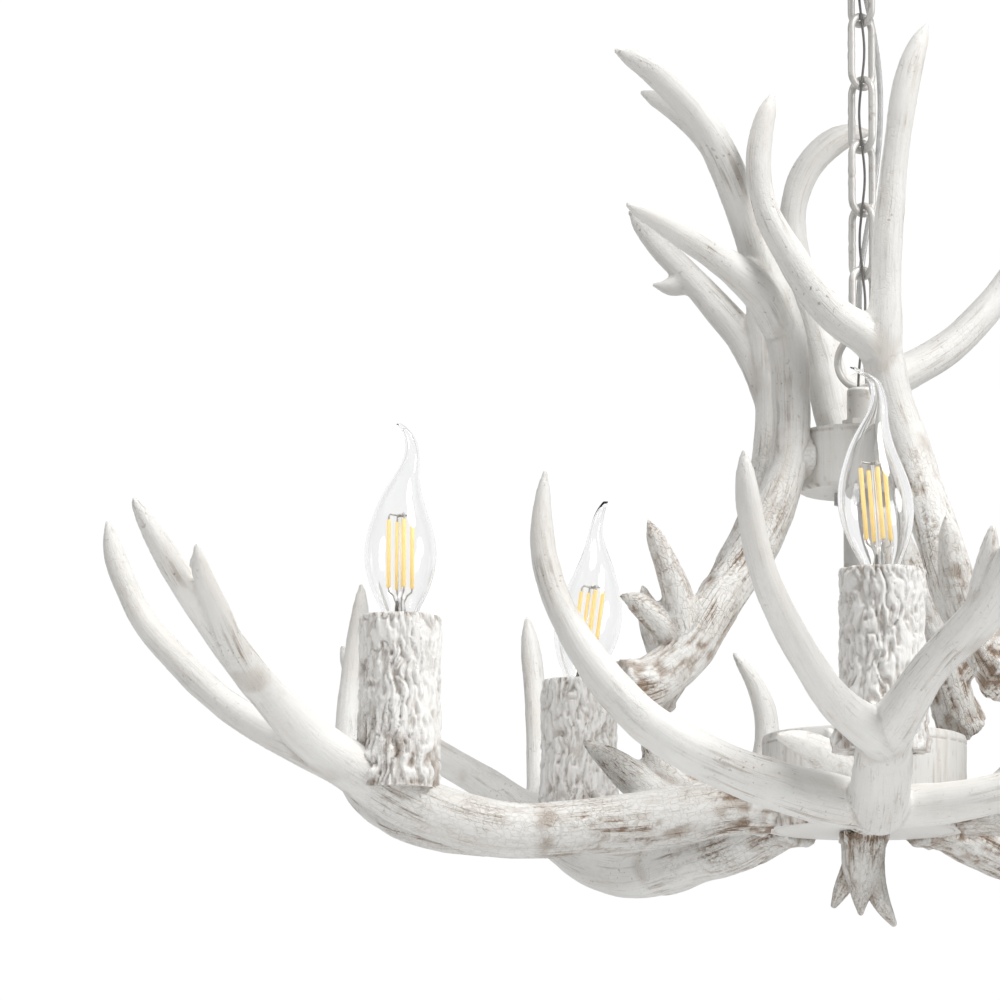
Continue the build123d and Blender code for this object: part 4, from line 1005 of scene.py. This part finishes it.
drums = {
    "lowerDrum": {
        "radius": 48.5, "low": 321.5, "high": 367.0, "flutes": 17.0, "depth": 1.0, "groove": 5.0,
        "narrow": 0.8, "seed": 301, "node": "lower_drum",
        "profile": [
            (42.5, 334.0), (42.5, 321.5), (47.2, 321.5), (48.2, 322.7), (48.5, 364.2), (47.6, 366.2),
            (45.5, 367.0), (9.6, 367.0),
        ],
    },
    "upperDrum": {
        "radius": 31.0, "low": 483.0, "high": 512.0, "flutes": 9.0, "depth": 0.25, "groove": 2.2,
        "narrow": 0.0, "seed": 317, "node": "upper_drum",
        "profile": [(5.4, 483.0), (29.8, 483.0), (31.0, 484.2), (31.0, 510.8), (29.8, 512.0), (5.4, 512.0)],
    },
}
drumMesh = {"gap": 0.7, "around": 340}
for name, one in drums.items():
    profile = dense(one["profile"], drumMesh["gap"])
    work = drumWork(one)
    lathe(name, profile, (0.0, 0.0), drumMesh["around"], work, drumResin, "chandelier", one["node"])
print("drums")


# Chain links: bent round wire with a welded seam
def bentLoop(name, points, material, body, node, wire=chain["wire"], weld=30, around=18):
    line = np.array(points, float)
    ahead = np.roll(line, -1, axis=0) - np.roll(line, 1, axis=0)
    ahead /= np.linalg.norm(ahead, axis=1)[:, None]
    normal = np.cross(line[0] - line.mean(axis=0), line[len(line) // 4] - line.mean(axis=0))
    normal /= np.linalg.norm(normal)
    angles = np.linspace(0.0, 2 * math.pi, around, endpoint=False)
    rings = []
    for index, (spot, way) in enumerate(zip(line, ahead)):
        side = np.cross(way, normal)
        gap = min(abs(index - weld), len(line) - abs(index - weld))
        thick = wire * (1.0 + 0.10 * math.exp(-((gap - 1.6) ** 2) / 0.8) - 0.07 * math.exp(-(gap**2) / 0.3))
        rings.append(spot + thick * (np.cos(angles)[:, None] * side + np.sin(angles)[:, None] * normal))
    points, faces = skin(rings, closedLoop=True)
    placed(name, meshFrom(name, lowered(points), faces), material, body, [node])


# The outline of a link: an arc, a straight side, an arc and the other side
bend = chain["bend"]
straight = chain["length"] - 2 * chain["wire"] - 2 * bend
outline = []
for way in (1, -1):
    for step in range(24):
        swing = math.pi * step / 24
        lift = bend + straight if way > 0 else bend
        outline.append((way * bend * math.cos(swing), lift + way * bend * math.sin(swing)))
    for step in range(12):
        outline.append((-way * bend, bend + straight * (12 - step if way > 0 else step) / 12))
for number in range(1, chain["count"] + 1):
    low = chain["low"] + (number - 1) * chain["pitch"]
    facing = math.radians(45.0 if number % 2 else -45.0)
    points = [(across * math.cos(facing), across * math.sin(facing), low + rise) for across, rise in outline]
    tag = str(number)
    bentLoop("chainLink" + tag, points, chainMetal, "link_" + tag, "chain_link_" + tag)
print("chain")


# Plain metal and holder nodes keep their frame shapes
carriedOver = {
    "hub_loop": chainMetal, "canopy_loop": chainMetal, "canopy": whiteMetal, "ring_nut": whiteMetal,
    "stem_tube": whiteMetal, "lower_cap": drumResin, "threaded_rod": zincMetal, "stem_nut": zincMetal,
    "drum_nuts": zincMetal, "hub_washer": chainMetal, "hub_lock_nut": chainMetal, "upper_screws": zincMetal,
    "lower_bolts": zincMetal, "ceiling_crossbar": zincMetal, "crossbar_nut": zincMetal,
    "candle_nipples": zincMetal, "lampholders": holderPlastic,
}
for node, material in carriedOver.items():
    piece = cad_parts[node]
    piece.data.materials.clear()
    piece.data.materials.append(material)


bpy.context.scene.view_settings.view_transform = "Standard"

# Stage: pale floor far below, white surround, soft lamps
ground = {"half": 6, "height": -2.4}
half, height = ground["half"], ground["height"]
corners = [(-half, -half, height), (half, -half, height), (half, half, height), (-half, half, height)]
floor = meshFrom("floor", corners, [(0, 1, 2, 3)])
floorObject = bpy.data.objects.new("floor", floor)
bpy.context.scene.collection.objects.link(floorObject)
floorMade, floorRoot, floorShader = blank("floorPaint", Roughness=0.8)
floorPlace = floorRoot.node("ShaderNodeTexCoord", None, None, 3)
mottle = tint(cloud(floorPlace, 3.0), coloured(0.86, 0.86, 0.86), coloured(0.90, 0.90, 0.90))
feed(floorShader, "Base Color", mottle)
floor.materials.append(floorMade)

world = bpy.data.worlds.new("surround")
bpy.context.scene.world = world
world.use_nodes = True
worldRoot = Wire(world.node_tree)
sky = world.node_tree.nodes["Background"]
camera, glossy, through = [worldRoot.node("ShaderNodeLightPath", None, None, output) for output in (0, 3, 6)]
aim = worldRoot.node("ShaderNodeTexCoord", None, None, 0)
depth = aim.node("ShaderNodeSeparateXYZ", None, {0: aim}, 1)
behind = ((depth - 0.55) * 3.2).held()
seen = (camera + (glossy + through) * (0.25 + behind * 0.75)).held()
sky.inputs["Color"].default_value = (1.0, 1.0, 1.0, 1.0)
surround = {"soft": 0.27, "seen": 0.75}
strength = seen * surround["seen"] + surround["soft"]
world.node_tree.links.new(strength.socket, sky.inputs["Strength"])


def lamp(name, spot, size, power, target=(-0.12, 0.0, -0.33)):
    data = bpy.data.lights.new(name, "AREA")
    data.shape = "DISK"
    data.size = size
    data.energy = power
    lampObject = bpy.data.objects.new(name, data)
    bpy.context.scene.collection.objects.link(lampObject)
    lampObject.location = spot
    lampObject.rotation_euler = (Vector(target) - Vector(spot)).to_track_quat("-Z", "Y").to_euler()


lamps = {
    "keySoft": {"spot": (1.6, -1.3, 1.9), "size": 1.3, "power": 67.0},
    "topSoft": {"spot": (-0.5, -0.5, 2.1), "size": 1.5, "power": 29.0},
    "rightSoft": {"spot": (2.5, -0.9, 0.2), "size": 1.1, "power": 21.0},
    "leftSoft": {"spot": (-2.6, -1.6, 0.2), "size": 1.2, "power": 14.0},
    "lowSoft": {"spot": (0.0, -1.2, -2.2), "size": 1.4, "power": 18.0},
}
for name, one in lamps.items():
    lamp(name, **one)
print("stage")
